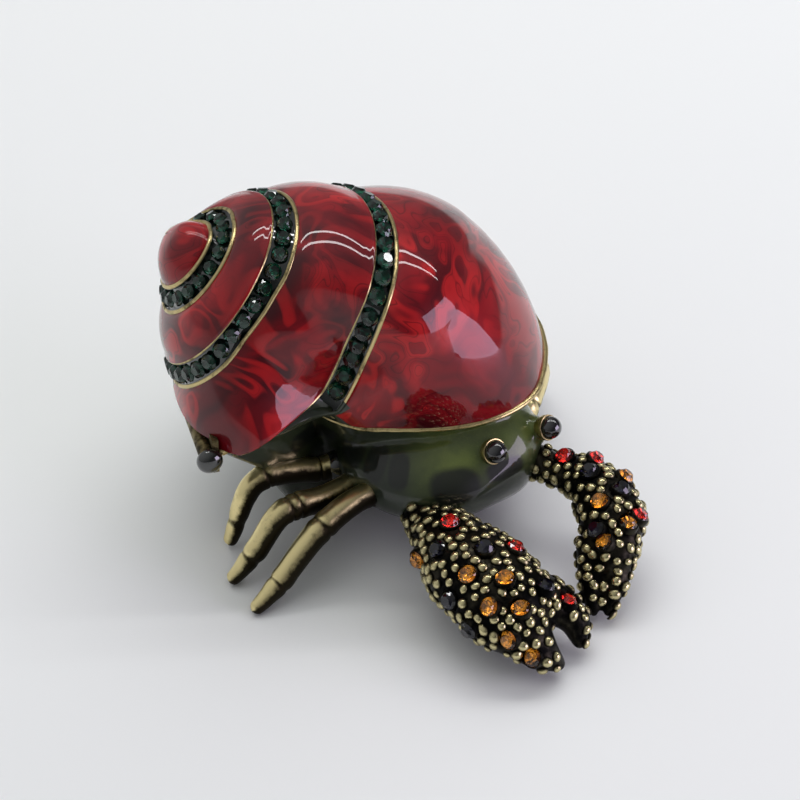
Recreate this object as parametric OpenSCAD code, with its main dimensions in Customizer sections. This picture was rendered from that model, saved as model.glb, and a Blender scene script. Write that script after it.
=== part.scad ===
/* [Shell] */
// Radius of the stone channel's inner edge where the first turn starts
spire_r = 3; // [2.6:0.1:3.4]
// Growth of that radius in each full turn
whorl_growth = 7.35; // [6.8:0.05:7.8]
// Depth of the channel's edge below the apex where the first turn starts
spire_drop = 1.9; // [1.6:0.1:2.4]
// Depth that the first full turn adds, which grows with the square of the turns
whorl_drop = 3.5; // [3.2:0.05:3.8]
// Height of the rounded apex above the shell's own origin
apex_rise = 0.8; // [0.4:0.1:1.4]
// Depth of the shell from its origin to the end of the closed body whorl
base_depth = 58; // [56:0.5:60]
// Direction of the apex round the vertical, measured from the crab's right
apex_turn = 32; // [28:1:36]
// Lean of the apex above the horizontal
apex_lean = 43.8; // [40:0.2:47]
// How far a whorl bulges out, as a share of its width
whorl_bulge_share = 0.1; // [0.06:0.01:0.14]

/* [Stone channel] */
// Width of the channel across both of its brass rims
channel_w = 3.7; // [3.5:0.1:4]
// Depth of the channel's floor below the rims
channel_depth = 0.9; // [0.7:0.05:1.1]
// Width of one brass rim
rim_w = 0.4; // [0.35:0.05:0.5]
// Diameter of the smallest channel stone
stone_d_small = 1.8; // [1.5:0.05:1.9]
// Diameter of the largest channel stone
stone_d_large = 2.2; // [2:0.05:2.25]
// Gap between neighbouring channel stones
stone_gap = 0.15; // [0.1:0.05:0.3]
// Thickness of the enamel over the casting
enamel_t = 0.5; // [0.4:0.05:0.6]

/* [Box] */
// Height of the flat joint between body and lid above the ground
parting_z = 18; // [17:0.5:19]
// Gap between the lid's rim and the body's rim when closed
parting_gap = 0.12; // [0.08:0.02:0.2]
// Thickness of the cast walls
wall = 1.6; // [1.3:0.1:2]
// Height of the brass bead round the lid's rim
bead_h = 0.7; // [0.5:0.1:0.9]
// How far that bead stands out of the lid
bead_out = 0.4; // [0.3:0.05:0.5]
// Thickness of the floor of the body
floor_t = 2; // [1.6:0.1:3]
// Height of the shell's apex above the joint
apex_above_joint = 22; // [21:0.5:23]

/* [Head] */
// Half width of the head
head_half_w = 11.5; // [10.5:0.5:12.5]
// Half length of the head
head_half_l = 13.5; // [12.5:0.5:14.5]
// Half height of the head
head_half_h = 8.2; // [7.6:0.2:8.4]
// Diameter of an eye bead
eye_d = 2.7; // [2.3:0.1:3.1]
// Distance between the two eyes
eye_spacing = 8.6; // [7.6:0.2:9.6]

/* [Legs] */
// Thickness of a leg at its root
leg_d = 3.1; // [2.7:0.1:3.5]
// Thickness of a leg at its tip
leg_tip_d = 1.3; // [1:0.1:1.6]
// Height of the legs' knees above the ground
knee_h = 9.5; // [8.5:0.5:10.5]
// Diameter of the rounded socket where a leg leaves the body
coxa_d = 3.8; // [3.4:0.1:4.2]

/* [Claws] */
// Length of the crab's right claw, the larger one
right_claw_l = 26; // [24:0.5:28]
// Length of the crab's left claw
left_claw_l = 22; // [20:0.5:24]
// Width of the right claw's hand
right_claw_w = 13.5; // [12:0.5:14.5]
// Width of the left claw's hand
left_claw_w = 10.5; // [9:0.5:12]
// Thickness of a claw's hand, as a share of its width
claw_flat_share = 0.78; // [0.7:0.02:0.86]
// Diameter of a crystal set in a claw
claw_stone_d = 2.4; // [2.1:0.1:2.6]

/* [Hinge and closure] */
// Outer diameter of the hinge knuckles
knuckle_d = 2.2; // [2:0.1:2.6]
// Diameter of the hinge pin
pin_d = 1.1; // [1:0.05:1.3]
// Length of the hinge along its pin
hinge_l = 8; // [7:0.5:9]
// Thickness of the hinge leaves
leaf_t = 0.8; // [0.6:0.1:1]
// Height of a hinge leaf on its wall
leaf_h = 2.6; // [2.2:0.1:3]
// Radial running gap between pin and lid knuckle
pin_gap = 0.05; // [0.03:0.01:0.08]
// Diameter of the closing magnets
magnet_d = 3; // [2.5:0.5:3.5]
// Thickness of a closing magnet
magnet_t = 1; // [0.8:0.1:1.2]

/* [Hidden] */

brass = [0.62, 0.53, 0.30];
dark_bronze = [0.22, 0.19, 0.14];
red_enamel = [0.62, 0.05, 0.09];
green_enamel = [0.20, 0.26, 0.14];
dark_crystal = [0.03, 0.10, 0.07];
topaz = [0.85, 0.42, 0.05];
siam_red = [0.85, 0.06, 0.05];
jet = [0.05, 0.05, 0.07];
steel = [0.75, 0.76, 0.78];

// Overrun of every cut
over = 1;
// Gap between two pieces of one body that are set on each other
seat_gap = 0.02;
// Side of a block that is larger than the whole object
world = 120;
// Columns in one turn of the shell's surfaces
steps = 24;
// Spans into which the enamel between two turns of the channel is divided
band_spans = 4;

// Places of the shell's own origin, which lies on its axis near the apex
apex_x = -28;
apex_y = 20;
shell_phase = -4;
first_turn = -0.25;
last_turn = 2.5;
turn_columns = (last_turn - first_turn) * steps;
// Near its mouth the shell leaves its even growth: shares of that growth at these turns
mouth_turns = [2.1, 2.17, 2.25, 2.33, 2.39, 2.48, 2.62, 2.82, 3.05, 3.25, 3.36, 3.6];
mouth_radius_shares = [1, 0.63, 0.553, 1, 1.035, 1.01, 1.015, 1.05, 0.83, 0.476, 0.343, 0.35];
mouth_depth_shares = [1, 1.17, 1.21, 0.962, 0.868, 0.888, 0.93, 1.026, 0.856, 0.707, 0.623, 0.6];
// Radius of the apex knob, inside the start of the channel
knob_r = 2.4;
// Part of a turn in which the channel reaches its full width
taper_share = 0.12;
// Part of a turn in which the channel sinks from the dome to its even depth
start_share = 0.3;
// Bulge at the start of the first turn, as a share of the full bulge
first_bulge_share = 0.35;
// The channel is at least this many rims wide
least_rim_shares = 2.4;
base_shares = [0.25, 0.5, 0.75];

apex_at = [apex_x, apex_y, parting_z + apex_above_joint];
apex_dir = [
    -cos(apex_turn) * cos(apex_lean),
    sin(apex_turn) * cos(apex_lean),
    sin(apex_lean)
];
shell_axis = -apex_dir;
shell_up = unit([0, 0, 1] - shell_axis * shell_axis.z);
shell_side = cross(shell_axis, shell_up);

function unit(v) = v / norm(v);
function mix(a, b, s) = a + (b - a) * s;
function smooth(s) = s * s * (3 - 2 * s);

// A point of the shell from its turn and its place [radius, depth] about the axis
function shell_point(t, p) =
    let (a = 360 * t + shell_phase)
    apex_at + shell_axis * p[1] + (shell_up * cos(a) + shell_side * sin(a)) * p[0];

// A direction of the shell from its turn and its parts along radius and axis
function shell_dir(t, v) =
    let (a = 360 * t + shell_phase)
    shell_axis * v[1] + (shell_up * cos(a) + shell_side * sin(a)) * v[0];

function mouth_share(shares, t) =
    t <= mouth_turns[0] ? 1 :
    let (k = max([for (i = [0:len(mouth_turns) - 2]) if (mouth_turns[i] <= t) i]))
    let (s = (t - mouth_turns[k]) / (mouth_turns[k + 1] - mouth_turns[k]))
    mix(shares[k], shares[k + 1], smooth(s));

// The channel's inner edge: its radius grows evenly and its depth with the square of the turns
function even_radius(t) = max(knob_r, spire_r + whorl_growth * t);
function even_depth(t) = spire_drop + whorl_drop * t * abs(t);
// Where it starts, the channel leaves the dome over the apex without a step
function dome_depth(t) =
    let (s = even_radius(t) / even_radius(first_turn + 1))
    mix(-apex_rise, even_depth(first_turn + 1), s * s);
function started(t) = t > first_turn + start_share ? 1 : smooth((t - first_turn) / start_share);
function edge(t) = [
    even_radius(t) * mouth_share(mouth_radius_shares, t),
    mix(dome_depth(t), even_depth(t), started(t)) * mouth_share(mouth_depth_shares, t)
];
function along(t) = unit(edge(t + 1) - edge(t));
function outward(t) = [along(t)[1], -along(t)[0]];
function width(t) = max(least_rim_shares * rim_w, channel_w * min(1, (t - first_turn) / taper_share));
function at(t, s, off) = edge(t) + along(t) * s + outward(t) * off;
function bulge(t, share) =
    whorl_bulge_share * mix(first_bulge_share, 1, started(t)) * pow(sin(180 * share), bulge_round)
    * norm(edge(t + 1) - at(t, width(t), 0));
bulge_round = 0.8;
function band(t, share, off) =
    mix(at(t, width(t), 0), edge(t + 1), share) + outward(t) * (bulge(t, share) + off);

// Rows of the dome over the apex, from the button in its middle out to the channel
dome_row_shares = [0, 0.33, 0.66, 1];
button_r = 0.8;
function dome_share(t, row) = mix(button_r / edge(t)[0], 1, row);

// The rounded ends: over the apex, and under the body whorl
pole_depth = base_depth;
function cap(t, share, off) = [
    edge(t)[0] * share,
    mix(-apex_rise, edge(t)[1], share * share) - off
];
function closing(t, share, off) = [
    (edge(t + 1)[0] + off) * cos(90 * share),
    mix(edge(t + 1)[1], pole_depth + off, sin(90 * share))
];

// Cross-section of the casting, with the channel and its two rims
function casting_rows(t) = [
    at(t, 0, 0),
    at(t, rim_w, 0),
    at(t, rim_w, -channel_depth),
    at(t, width(t) - rim_w, -channel_depth),
    at(t, width(t) - rim_w, 0),
    at(t, width(t), 0),
    for (k = [0:band_spans]) band(t, k / band_spans, -enamel_t)
];

// A closed solid wound from rows over whole turns, with a cap at the start and a round end
module wound_solid(rows, caps, closings, start, top, pole) {
    m = len(rows[0]);
    n = len(rows) - 1;
    c = len(caps[0]);
    b = len(closings[0]);
    cap_0 = (n + 1) * m;
    close_0 = cap_0 + (steps + 1) * c;
    top_i = close_0 + (steps + 1) * b;
    pole_i = top_i + 1;
    function row(i, j) = j < m ? i * m + j : i + steps <= n ? (i + steps) * m : -1;
    function shut(i, k) = k < 0 ? (i + n - steps) * m + m - 1 : close_0 + i * b + k;
    function lid_row(i, k) = k < 0 ? i * m : cap_0 + i * c + k;
    points = [
        for (i = [0:n]) for (p = rows[i]) shell_point(start + i / steps, p),
        for (i = [0:steps]) for (p = caps[i]) shell_point(start + i / steps, p),
        for (i = [0:steps]) for (p = closings[i]) shell_point(start + (n - steps + i) / steps, p),
        shell_point(start, [0, top]),
        shell_point(start, [0, pole])
    ];
    sides = [
        for (i = [0:n - 1]) for (j = [0:m - 1])
            if (j < m - 1 || i + steps < n)
                for (f = [
                    [row(i, j), row(i, j + 1), row(i + 1, j + 1)],
                    [row(i, j), row(i + 1, j + 1), row(i + 1, j)]
                ]) f
    ];
    round_end = [
        for (i = [0:steps - 1]) for (k = [-1:b - 2])
            for (f = [
                [shut(i, k), shut(i, k + 1), shut(i + 1, k + 1)],
                [shut(i, k), shut(i + 1, k + 1), shut(i + 1, k)]
            ]) f,
        for (i = [0:steps - 1]) [shut(i, b - 1), pole_i, shut(i + 1, b - 1)]
    ];
    start_end = [
        for (i = [0:steps - 1]) for (k = [-1:c - 2])
            for (f = [
                [lid_row(i, k), lid_row(i + 1, k), lid_row(i, k + 1)],
                [lid_row(i + 1, k), lid_row(i + 1, k + 1), lid_row(i, k + 1)]
            ]) f,
        for (i = [0:steps - 1]) [lid_row(i, c - 1), lid_row(i + 1, c - 1), top_i]
    ];
    mouth_face = [
        for (j = [0:m - 1]) row(n, j),
        for (k = [0:b - 1]) shut(steps, k),
        pole_i,
        for (k = [b - 1:-1:-1]) shut(0, k)
    ];
    start_face = [
        for (k = [-1:c - 1]) lid_row(0, k),
        top_i,
        for (k = [c - 1:-1:-1]) lid_row(steps, k),
        for (j = [m - 1:-1:1]) row(0, j)
    ];
    faces = concat(sides, round_end, start_end, [mouth_face], [start_face]);
    polyhedron(points, faces, convexity = 10);
}

module casting_form() {
    wound_solid(
        rows = [for (i = [0:turn_columns]) casting_rows(first_turn + i / steps)],
        caps = [
            for (i = [0:steps])
                let (t = first_turn + i / steps)
                [for (k = [len(dome_row_shares) - 1:-1:0]) cap(t, dome_share(t, dome_row_shares[k]), -enamel_t)]
        ],
        closings = [
            for (i = [0:steps])
                [for (c = base_shares) closing(last_turn - 1 + i / steps, c, -enamel_t)]
        ],
        start = first_turn,
        top = -apex_rise + enamel_t,
        pole = pole_depth - enamel_t
    );
}

// Enamel over one band, from one turn to another; with the round end when it is closed
module enamel_solid(from, to, closed) {
    low = -enamel_t + seat_gap;
    columns = round((to - from) * steps);
    function side_shift(t, k) =
        k == 0 ? along(t) * seat_gap : k == band_spans && !closed ? -along(t) * seat_gap : [0, 0];
    function line(t, off) = [
        for (k = [0:band_spans]) band(t, k / band_spans, off) + side_shift(t, k),
        if (closed) for (c = base_shares) closing(t, c, off)
    ];
    strip_solid([
        for (i = [0:columns])
            let (t = min(from + i / steps, to - join_share))
            concat(
                [for (p = line(t, 0)) shell_point(t, p)],
                [for (k = [len(line(t, 0)) - 1:-1:0]) shell_point(t, line(t, low)[k])]
            )
    ]);
}
// Part of a turn that is left open where two pieces of enamel meet
join_share = 0.002;

// A solid from closed rows of points, the upper side first and then the lower side backwards
module strip_solid(rows) {
    n = len(rows[0]);
    m = len(rows) - 1;
    h = n / 2;
    function id(i, j) = i * n + j % n;
    sides = [
        for (i = [0:m - 1]) for (j = [0:n - 1])
            for (f = j < h - 1 ? [
                [id(i, j), id(i, j + 1), id(i + 1, j + 1)],
                [id(i, j), id(i + 1, j + 1), id(i + 1, j)]
            ] : [
                [id(i, j), id(i, j + 1), id(i + 1, j)],
                [id(i, j + 1), id(i + 1, j + 1), id(i + 1, j)]
            ]) f
    ];
    ends = [
        for (j = [0:h - 2])
            for (f = [
                [id(0, j + 1), id(0, j), id(0, n - 1 - j)],
                [id(0, j + 1), id(0, n - 1 - j), id(0, n - 2 - j)],
                [id(m, j), id(m, j + 1), id(m, n - 1 - j)],
                [id(m, j + 1), id(m, n - 2 - j), id(m, n - 1 - j)]
            ]) f
    ];
    polyhedron([for (r = rows) for (p = r) p], concat(sides, ends), convexity = 10);
}

module apex_enamel() {
    function dome_point(t, row, off) =
        shell_point(t, cap(t, dome_share(t, row), off) - [row == 1 ? seat_gap : 0, 0]);
    color(red_enamel) {
        strip_solid([
            for (i = [0:steps])
                let (t = min(first_turn + i / steps, first_turn + 1 - join_share))
                concat(
                    [for (r = dome_row_shares) dome_point(t, r, 0)],
                    [for (k = [len(dome_row_shares) - 1:-1:0]) dome_point(t, dome_row_shares[k], seat_gap - enamel_t)]
                )
        ]);
        place(apex_at - shell_axis * (apex_rise - enamel_t + seat_gap), -shell_axis)
        cylinder(h = enamel_t, r = button_r - seat_gap, $fn = 24);
    }
}

module spire_enamel() {
    color(red_enamel)
    difference() {
        intersection() {
            enamel_solid(first_turn, last_turn - 1, false);
            above(bead_h + seat_gap);
        }
        flat_room();
    }
}

module body_whorl_enamel() {
    color(red_enamel)
    difference() {
        intersection() {
            enamel_solid(last_turn - 1, last_turn, true);
            above(bead_h + seat_gap);
        }
        flat_room();
    }
}

// Moves a piece that stands on the origin to a place, upright along a direction
module place(p, dir) {
    translate(p)
    rotate([0, acos(dir.z / norm(dir)), atan2(dir.y, dir.x)])
    children();
}

// Everything above the joint, from a height over it
module above(height) {
    translate([-world / 2, -world / 2, parting_z + height]) cube(world);
}

// Channel stones, set one after another along the turns until they reach the joint
first_stone_turn = -0.12;
last_stone_turn = 2.26;
// Clearance under a channel stone, for its cement
cement_t = 0.4;
function stone_d(t) =
    mix(stone_d_small, stone_d_large, min(1, (t - first_stone_turn) / (last_stone_turn - first_stone_turn)));
function channel_middle(t) = at(t, width(t) / 2, cement_t - channel_depth);
// The middle of the channel between two columns, which are joined by straight lines
function column_turn(t, next) = first_turn + (floor((t - first_turn) * steps) + next) / steps;
function stone_place(t) =
    let (a = column_turn(t, 0))
    let (b = column_turn(t, 1))
    mix(shell_point(a, channel_middle(a)), shell_point(b, channel_middle(b)), (t - a) * steps);
function stone_dir(t) =
    let (a = column_turn(t, 0))
    let (b = column_turn(t, 1))
    let (ahead = shell_point(b, channel_middle(b)) - shell_point(a, channel_middle(a)))
    unit(cross(ahead, shell_dir(a, along(a)) + shell_dir(b, along(b))));
function stone_step(t) = (stone_d(t) + stone_gap) * turn_probe / norm(stone_place(t + turn_probe) - stone_place(t));
turn_probe = 0.01;
function stone_turns(t) = t > last_stone_turn ? [] : concat([t], stone_turns(t + stone_step(t)));
module channel_crystals() {
    color(dark_crystal)
    for (t = stone_turns(first_stone_turn))
        let (p = stone_place(t))
        if (p.z > parting_z + stone_d_large)
            place(p, stone_dir(t))
            cylinder(h = stone_h_share * stone_d(t), d1 = stone_d(t), d2 = table_share * stone_d(t), $fn = 6);
}
stone_h_share = 0.36;
table_share = 0.55;

// How far the shell reaches from its axis at a turn and a depth
function shell_reach(turn, depth) =
    let (f = turn - floor(turn - first_turn))
    let (e = [for (k = [0:3]) edge(f + k)])
    depth < e[0][1] ? e[0][0] * sqrt(max(0, (depth + apex_rise) / (e[0][1] + apex_rise))) :
    depth < e[1][1] ? whorl_reach(f, depth) :
    depth < e[2][1] ? whorl_reach(f + 1, depth) :
    depth < e[3][1] ? whorl_reach(f + 2, depth) :
    e[3][0] * sqrt(max(0, 1 - pow((depth - e[3][1]) / (pole_depth - e[3][1]), 2)));
function whorl_reach(t, depth) =
    let (s = (depth - edge(t)[1]) / (edge(t + 1)[1] - edge(t)[1]))
    let (w = width(t) / norm(edge(t + 1) - edge(t)))
    mix(edge(t)[0], edge(t + 1)[0], s)
    + (s < w ? 0 : bulge(t, (s - w) / (1 - w)) / outward(t)[0]);

// The outline of the joint: where a level ray from the bowl's middle leaves the shell
bowl_x = -10;
bowl_y = 9;
outline_steps = 48;
ray_limit = 32;
halvings = 12;
function in_shell(p) =
    let (q = p - apex_at)
    let (depth = q * shell_axis)
    let (v = q - shell_axis * depth)
    let (turn = (atan2(v * shell_side, v * shell_up) - shell_phase) / 360)
    norm(v) < shell_reach(turn, depth);
function ray(a, d, z) = [bowl_x + d * cos(a), bowl_y + d * sin(a), z];
function find_wall(a, z, lo, hi, tries) =
    tries == 0 ? lo :
    let (d = (lo + hi) / 2)
    in_shell(ray(a, d, z)) ? find_wall(a, z, d, hi, tries - 1) : find_wall(a, z, lo, d, tries - 1);
function outline_at(z) = [
    for (i = [0:outline_steps - 1]) find_wall(i * 360 / outline_steps, z, 0, ray_limit, halvings)
];
outline = outline_at(parting_z);

// A solid from level rings round the bowl's middle: each [height, distance in every direction]
module ringed_solid(rings) {
    n = outline_steps;
    m = len(rings);
    function id(j, i) = j * n + i % n;
    sides = [
        for (j = [0:m - 2]) for (i = [0:n - 1])
            for (f = [
                [id(j, i), id(j + 1, i + 1), id(j, i + 1)],
                [id(j, i), id(j + 1, i), id(j + 1, i + 1)]
            ]) f
    ];
    ends = [[for (i = [0:n - 1]) i], [for (i = [n - 1:-1:0]) id(m - 1, i)]];
    points = [for (r = rings) for (i = [0:n - 1]) ray(i * 360 / n, r[1][i], r[0])];
    polyhedron(points, concat(sides, ends), convexity = 6);
}

// The bowl: the joint's outline, drawn in towards the belly
bowl_levels_share = [0, 0.14, 0.3, 0.5, 0.7, 0.86, 1];
bowl_rings_share = [0.4, 0.47, 0.54, 0.64, 0.77, 0.91, 0.985];
module bowl_form(inset, z0, z1) {
    ringed_solid([
        for (k = [0:len(bowl_levels_share) - 1])
            [mix(z0, z1, bowl_levels_share[k]), [for (d = outline) d * bowl_rings_share[k] - inset]]
    ]);
}

// The hollow of the lid follows the shell's outside at some heights
hollow_heights = [-1, 5, 11, 16];
hollow_inset_shares = [1.15, 1.45, 2, 3.2];
module lid_hollow() {
    ringed_solid([
        for (k = [0:len(hollow_heights) - 1])
            let (z = parting_z + hollow_heights[k])
            [z, [for (d = outline_at(max(z, parting_z))) max(over, d - (wall + enamel_t) * hollow_inset_shares[k])]]
    ]);
}

// A brass bead round the lid's rim
module lid_bead() {
    for (i = [0:outline_steps - 1])
        hull()
        for (k = [i, i + 1])
            translate(ray(k * 360 / outline_steps, outline[k % outline_steps], parting_z))
            cylinder(h = bead_h, r = bead_out, $fn = 6);
}

// Places of the hinge and of the magnets
hinge_at = [-34.4, 3.7];
hinge_turn = -17;
leaf_gap = 0.25;
flat_x = knuckle_d / 2 + leaf_gap;
flat_from = -2.5;
flat_l = 26;
flat_h = 4.4;
flat_room_h = 3.2;
boss_t = 1.2;
catch_x = bowl_x + outline[0] - wall - magnet_d / 2 - boss_t / 2;
boss_h = 3.2;
magnet_gap = 0.05;

// The hinge's own frame: its pin runs along Y from the origin, and the box lies towards X
module hinge_frame() {
    translate([hinge_at.x, hinge_at.y, parting_z]) rotate([0, 0, hinge_turn]) children();
}
// The flat that the hinge sits on: a thickened wall, and the room that is cut out of it
module flat_wall() {
    hinge_frame()
    translate([-world / 2, flat_from - wall, -flat_h])
    cube([world / 2 + flat_x + wall, flat_l + 2 * wall, 2 * flat_h]);
}
module flat_room() {
    hinge_frame()
    translate([flat_x - world / 2, flat_from, -flat_room_h])
    cube([world / 2, flat_l, 2 * flat_room_h]);
}

// The round boss that holds a magnet, and the magnet's pocket in it
module catch_boss() {
    translate([catch_x, bowl_y, parting_z - boss_h])
    cylinder(h = 2 * boss_h, d = magnet_d + 2 * boss_t, $fn = 24);
}
module catch_pocket() {
    translate([catch_x, bowl_y, parting_z - magnet_t - magnet_gap])
    cylinder(h = 2 * (magnet_t + magnet_gap) + parting_gap, d = magnet_d + 2 * magnet_gap, $fn = 24);
}

module lid_casting() {
    color(brass)
    difference() {
        intersection() {
            union() {
                casting_form();
                lid_bead();
            }
            above(parting_gap);
        }
        difference() {
            lid_hollow();
            flat_wall();
            catch_boss();
        }
        catch_pocket();
        flat_room();
    }
}

// The head, which bulges out of the bowl's front
head_at = [0.8, -3.6, 10.3];
belly_at = [-4, -1.2, 9.6];
belly_share = [1.12, 0.94, 0.88];
head_share = [0.72, 0.74, 0.98];
module head_form() {
    size = [head_half_w, head_half_l, head_half_h];
    hull() {
        for (part = [[head_at, head_share], [belly_at, belly_share]])
            translate(part[0])
            scale([for (k = [0:2]) size[k] * part[1][k]])
            sphere(1, $fn = 20);
    }
}

// Legs: [where it leaves the body, where its tip stands, how far it bows to its left]
right_legs = [
    [[-13, -3.9, 7.5], [-34.9, -7.5], 0.6],
    [[-15.3, -0.1, 8], [-34.3, -1.5], -1.2],
    [[-16.1, 3.4, 9], [-30.5, 4.9], 0.8]
];
left_legs = [
    [[9.2, -2.6, 8.5], [20, 14.5], 0.5],
    [[9.6, 4.4, 8], [19, 21.5], -0.6],
    [[7.6, 10.6, 8], [13, 27.5], -1]
];
leg_along_share = [0, 0.14, 0.3, 0.5, 0.64, 0.8, 1];
leg_height_share = [0.86, 1.0, 1.04, 1, 0.8, 0.42, 0];
leg_thick_share = [1, 0.86, 0.95, 1, 0.84, 0.9, 0.42];
coxa_neck_share = 0.8;
coxa_root_share = 1.3;
function leg_away(leg) = unit([leg[1].x - leg[0].x, leg[1].y - leg[0].y, 0]);
function leg_joint(leg, k) =
    let (s = leg_along_share[k])
    let (away = leg_away(leg))
    let (side = sin(180 * s) * leg[2])
    let (high = k == 0 ? leg[0].z : leg_tip_d / 2 + (knee_h - leg_tip_d / 2) * leg_height_share[k])
    [
        mix(leg[0].x, leg[1].x, s) + away.y * side,
        mix(leg[0].y, leg[1].y, s) - away.x * side,
        high
    ];
module leg(leg) {
    color(brass)
    difference() {
        union() {
            for (k = [0:len(leg_along_share) - 2])
                hull() {
                    for (j = [k, k + 1])
                        translate(leg_joint(leg, j))
                        sphere(d = max(leg_tip_d / cos(180 / leg_sides), leg_d * leg_thick_share[j]), $fn = leg_sides);
                }
        }
        for (root = concat(right_legs, left_legs)) coxa(root);
        body_form();
    }
}
leg_sides = 7;
module coxa(leg) {
    translate(leg[0]) sphere(d = coxa_d, $fn = 10);
    hull() {
        translate(leg[0]) sphere(d = coxa_d * coxa_neck_share, $fn = 6);
        translate(leg[0] - leg_away(leg) * coxa_d * coxa_root_share)
        sphere(d = coxa_d * coxa_neck_share, $fn = 6);
    }
}

// Arms: the short rounded roots in which the claws sit, [shoulder, wrist]
right_wrist = [-12.3, -11, 8];
left_wrist = [6.2, -12.2, 9.2];
arm_inner_d = 5.4;
arm_outer_d = 4.4;
right_shoulder = [-6.5, -5, 8.5];
left_shoulder = [3.5, -6.5, 9];
module arm(shoulder, wrist) {
    hull() {
        translate(shoulder) sphere(d = arm_inner_d, $fn = 12);
        translate(wrist) sphere(d = arm_outer_d, $fn = 12);
    }
}

// The whole outside of the body, without its sockets; a round foot carries the head's underside
foot_r = 5;
foot_h = 4.2;
module body_form() {
    intersection() {
        union() {
            bowl_form(0, 0, parting_z);
            head_form();
            cylinder(h = foot_h, r = foot_r, $fn = 24);
        }
        translate([-world / 2, -world / 2, 0]) cube([world, world, parting_z]);
    }
}

module base_casting() {
    color(green_enamel)
    difference() {
        union() {
            body_form();
            for (leg = concat(right_legs, left_legs)) coxa(leg);
            arm(right_shoulder, right_wrist);
            arm(left_shoulder, left_wrist);
        }
        difference() {
            bowl_form(wall, floor_t, parting_z + over);
            flat_wall();
            catch_boss();
        }
        catch_pocket();
        flat_room();
        for (eye = [right_eye, left_eye])
            place(eye, -eye_dir)
            cylinder(h = stalk_l + seat_gap, d = stalk_d + 2 * magnet_gap, $fn = 16);
        for (eye = [right_eye, left_eye])
            translate(eye) sphere(d = eye_d + 2 * (cup_t + leaf_gap), $fn = 16);
    }
}

// Eyes: a bead in a cup on a short stalk
eye_mid = [2.6, -12.2, 15.2];
right_eye = eye_mid - [eye_spacing / 2, 0, 0];
left_eye = eye_mid + [eye_spacing / 2, 0, 0];
eye_dir = unit([0.1, -1, 0.45]);
cup_t = 0.35;
cup_share = 0.2;
stalk_d = 1.8;
stalk_l = 5;
module eye_cup(eye) {
    color(brass)
    place(eye, -eye_dir)
    difference() {
        union() {
            intersection() {
                sphere(d = eye_d + 2 * cup_t, $fn = 16);
                translate([0, 0, cup_share * eye_d]) cylinder(h = world, d = world);
            }
            cylinder(h = stalk_l, d = stalk_d, $fn = 16);
        }
        sphere(d = eye_d + 2 * seat_gap, $fn = 16);
    }
}
module eye_bead(eye) {
    color(jet)
    translate(eye) sphere(d = eye_d, $fn = 16);
}

// Hinge: the parts that turn keep clear of each other round the pin
knuckle_gap = 0.08;
pin_head_t = 0.6;
module y_cylinder(y0, y1, d) {
    translate([0, y0, 0]) rotate([-90, 0, 0]) cylinder(h = y1 - y0, d = d, $fn = 24);
}
module knuckle(k, side_gap, d) {
    y_cylinder(k * hinge_l / 3 + side_gap, (k + 1) * hinge_l / 3 - side_gap, d);
}
// One leaf with its knuckles; side is 1 for the lid and -1 for the body
module leaf(side, own, other, bore_gap) {
    color(brass)
    hinge_frame()
    difference() {
        union() {
            translate([flat_x - leaf_t - seat_gap, 0, side > 0 ? leaf_gap : -leaf_h])
            cube([leaf_t, hinge_l, leaf_h - leaf_gap]);
            for (k = own) knuckle(k, side > 0 ? knuckle_gap : 0, knuckle_d);
        }
        for (k = other) knuckle(k, 0, knuckle_d + 2 * leaf_gap);
        y_cylinder(-over, hinge_l + over, pin_d + 2 * bore_gap);
    }
}
module hinge_pin() {
    color(brass)
    hinge_frame() {
        y_cylinder(-pin_head_t, hinge_l + pin_head_t, pin_d);
        y_cylinder(-pin_head_t, -seat_gap, knuckle_d);
        y_cylinder(hinge_l + seat_gap, hinge_l + pin_head_t, knuckle_d);
    }
}

module base_magnet() {
    color(steel)
    translate([catch_x, bowl_y, parting_z - magnet_t]) cylinder(h = magnet_t, d = magnet_d, $fn = 20);
}
module lid_magnet() {
    color(steel)
    translate([catch_x, bowl_y, parting_z + parting_gap]) cylinder(h = magnet_t, d = magnet_d, $fn = 20);
}

// Claws, laid out along their own length: [share of length, share of width sideways, height, radius]
right_hand_shares = [
    [0.04, 0, 0.6, 0.34],
    [0.2, 0.05, 0.62, 0.66],
    [0.45, 0.15, 0.58, 0.96],
    [0.66, 0.19, 0.5, 1.02],
    [0.82, 0.14, 0.41, 0.76]
];
right_outer_shares = [[0.8, 0.22, 0.38, 0.62], [0.92, 0.17, 0.28, 0.42], [1, 0.04, 0.14, 0.18]];
right_inner_shares = [[0.76, -0.12, 0.44, 0.52], [0.86, -0.25, 0.38, 0.38], [0.94, -0.26, 0.27, 0.28], [0.99, -0.14, 0.14, 0.16]];
left_hand_shares = [
    [0.02, -0.2, 0.86, 0.4],
    [0.23, 0.26, 0.9, 0.6],
    [0.42, 0.38, 0.88, 0.78],
    [0.58, 0.36, 0.82, 0.84],
    [0.76, 0.22, 0.68, 0.66]
];
left_outer_shares = [[0.76, 0.28, 0.66, 0.5], [0.9, 0.16, 0.42, 0.36], [1, 0.0, 0.15, 0.16]];
left_inner_shares = [[0.7, 0.02, 0.66, 0.44], [0.83, -0.1, 0.46, 0.36], [0.91, -0.16, 0.3, 0.26], [0.97, -0.16, 0.14, 0.16]];
right_root = [-12.3, -11, 0];
left_root = [7.5, -11.5, 0];
right_claw_turn = 12.4;
left_claw_turn = 15;
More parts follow.
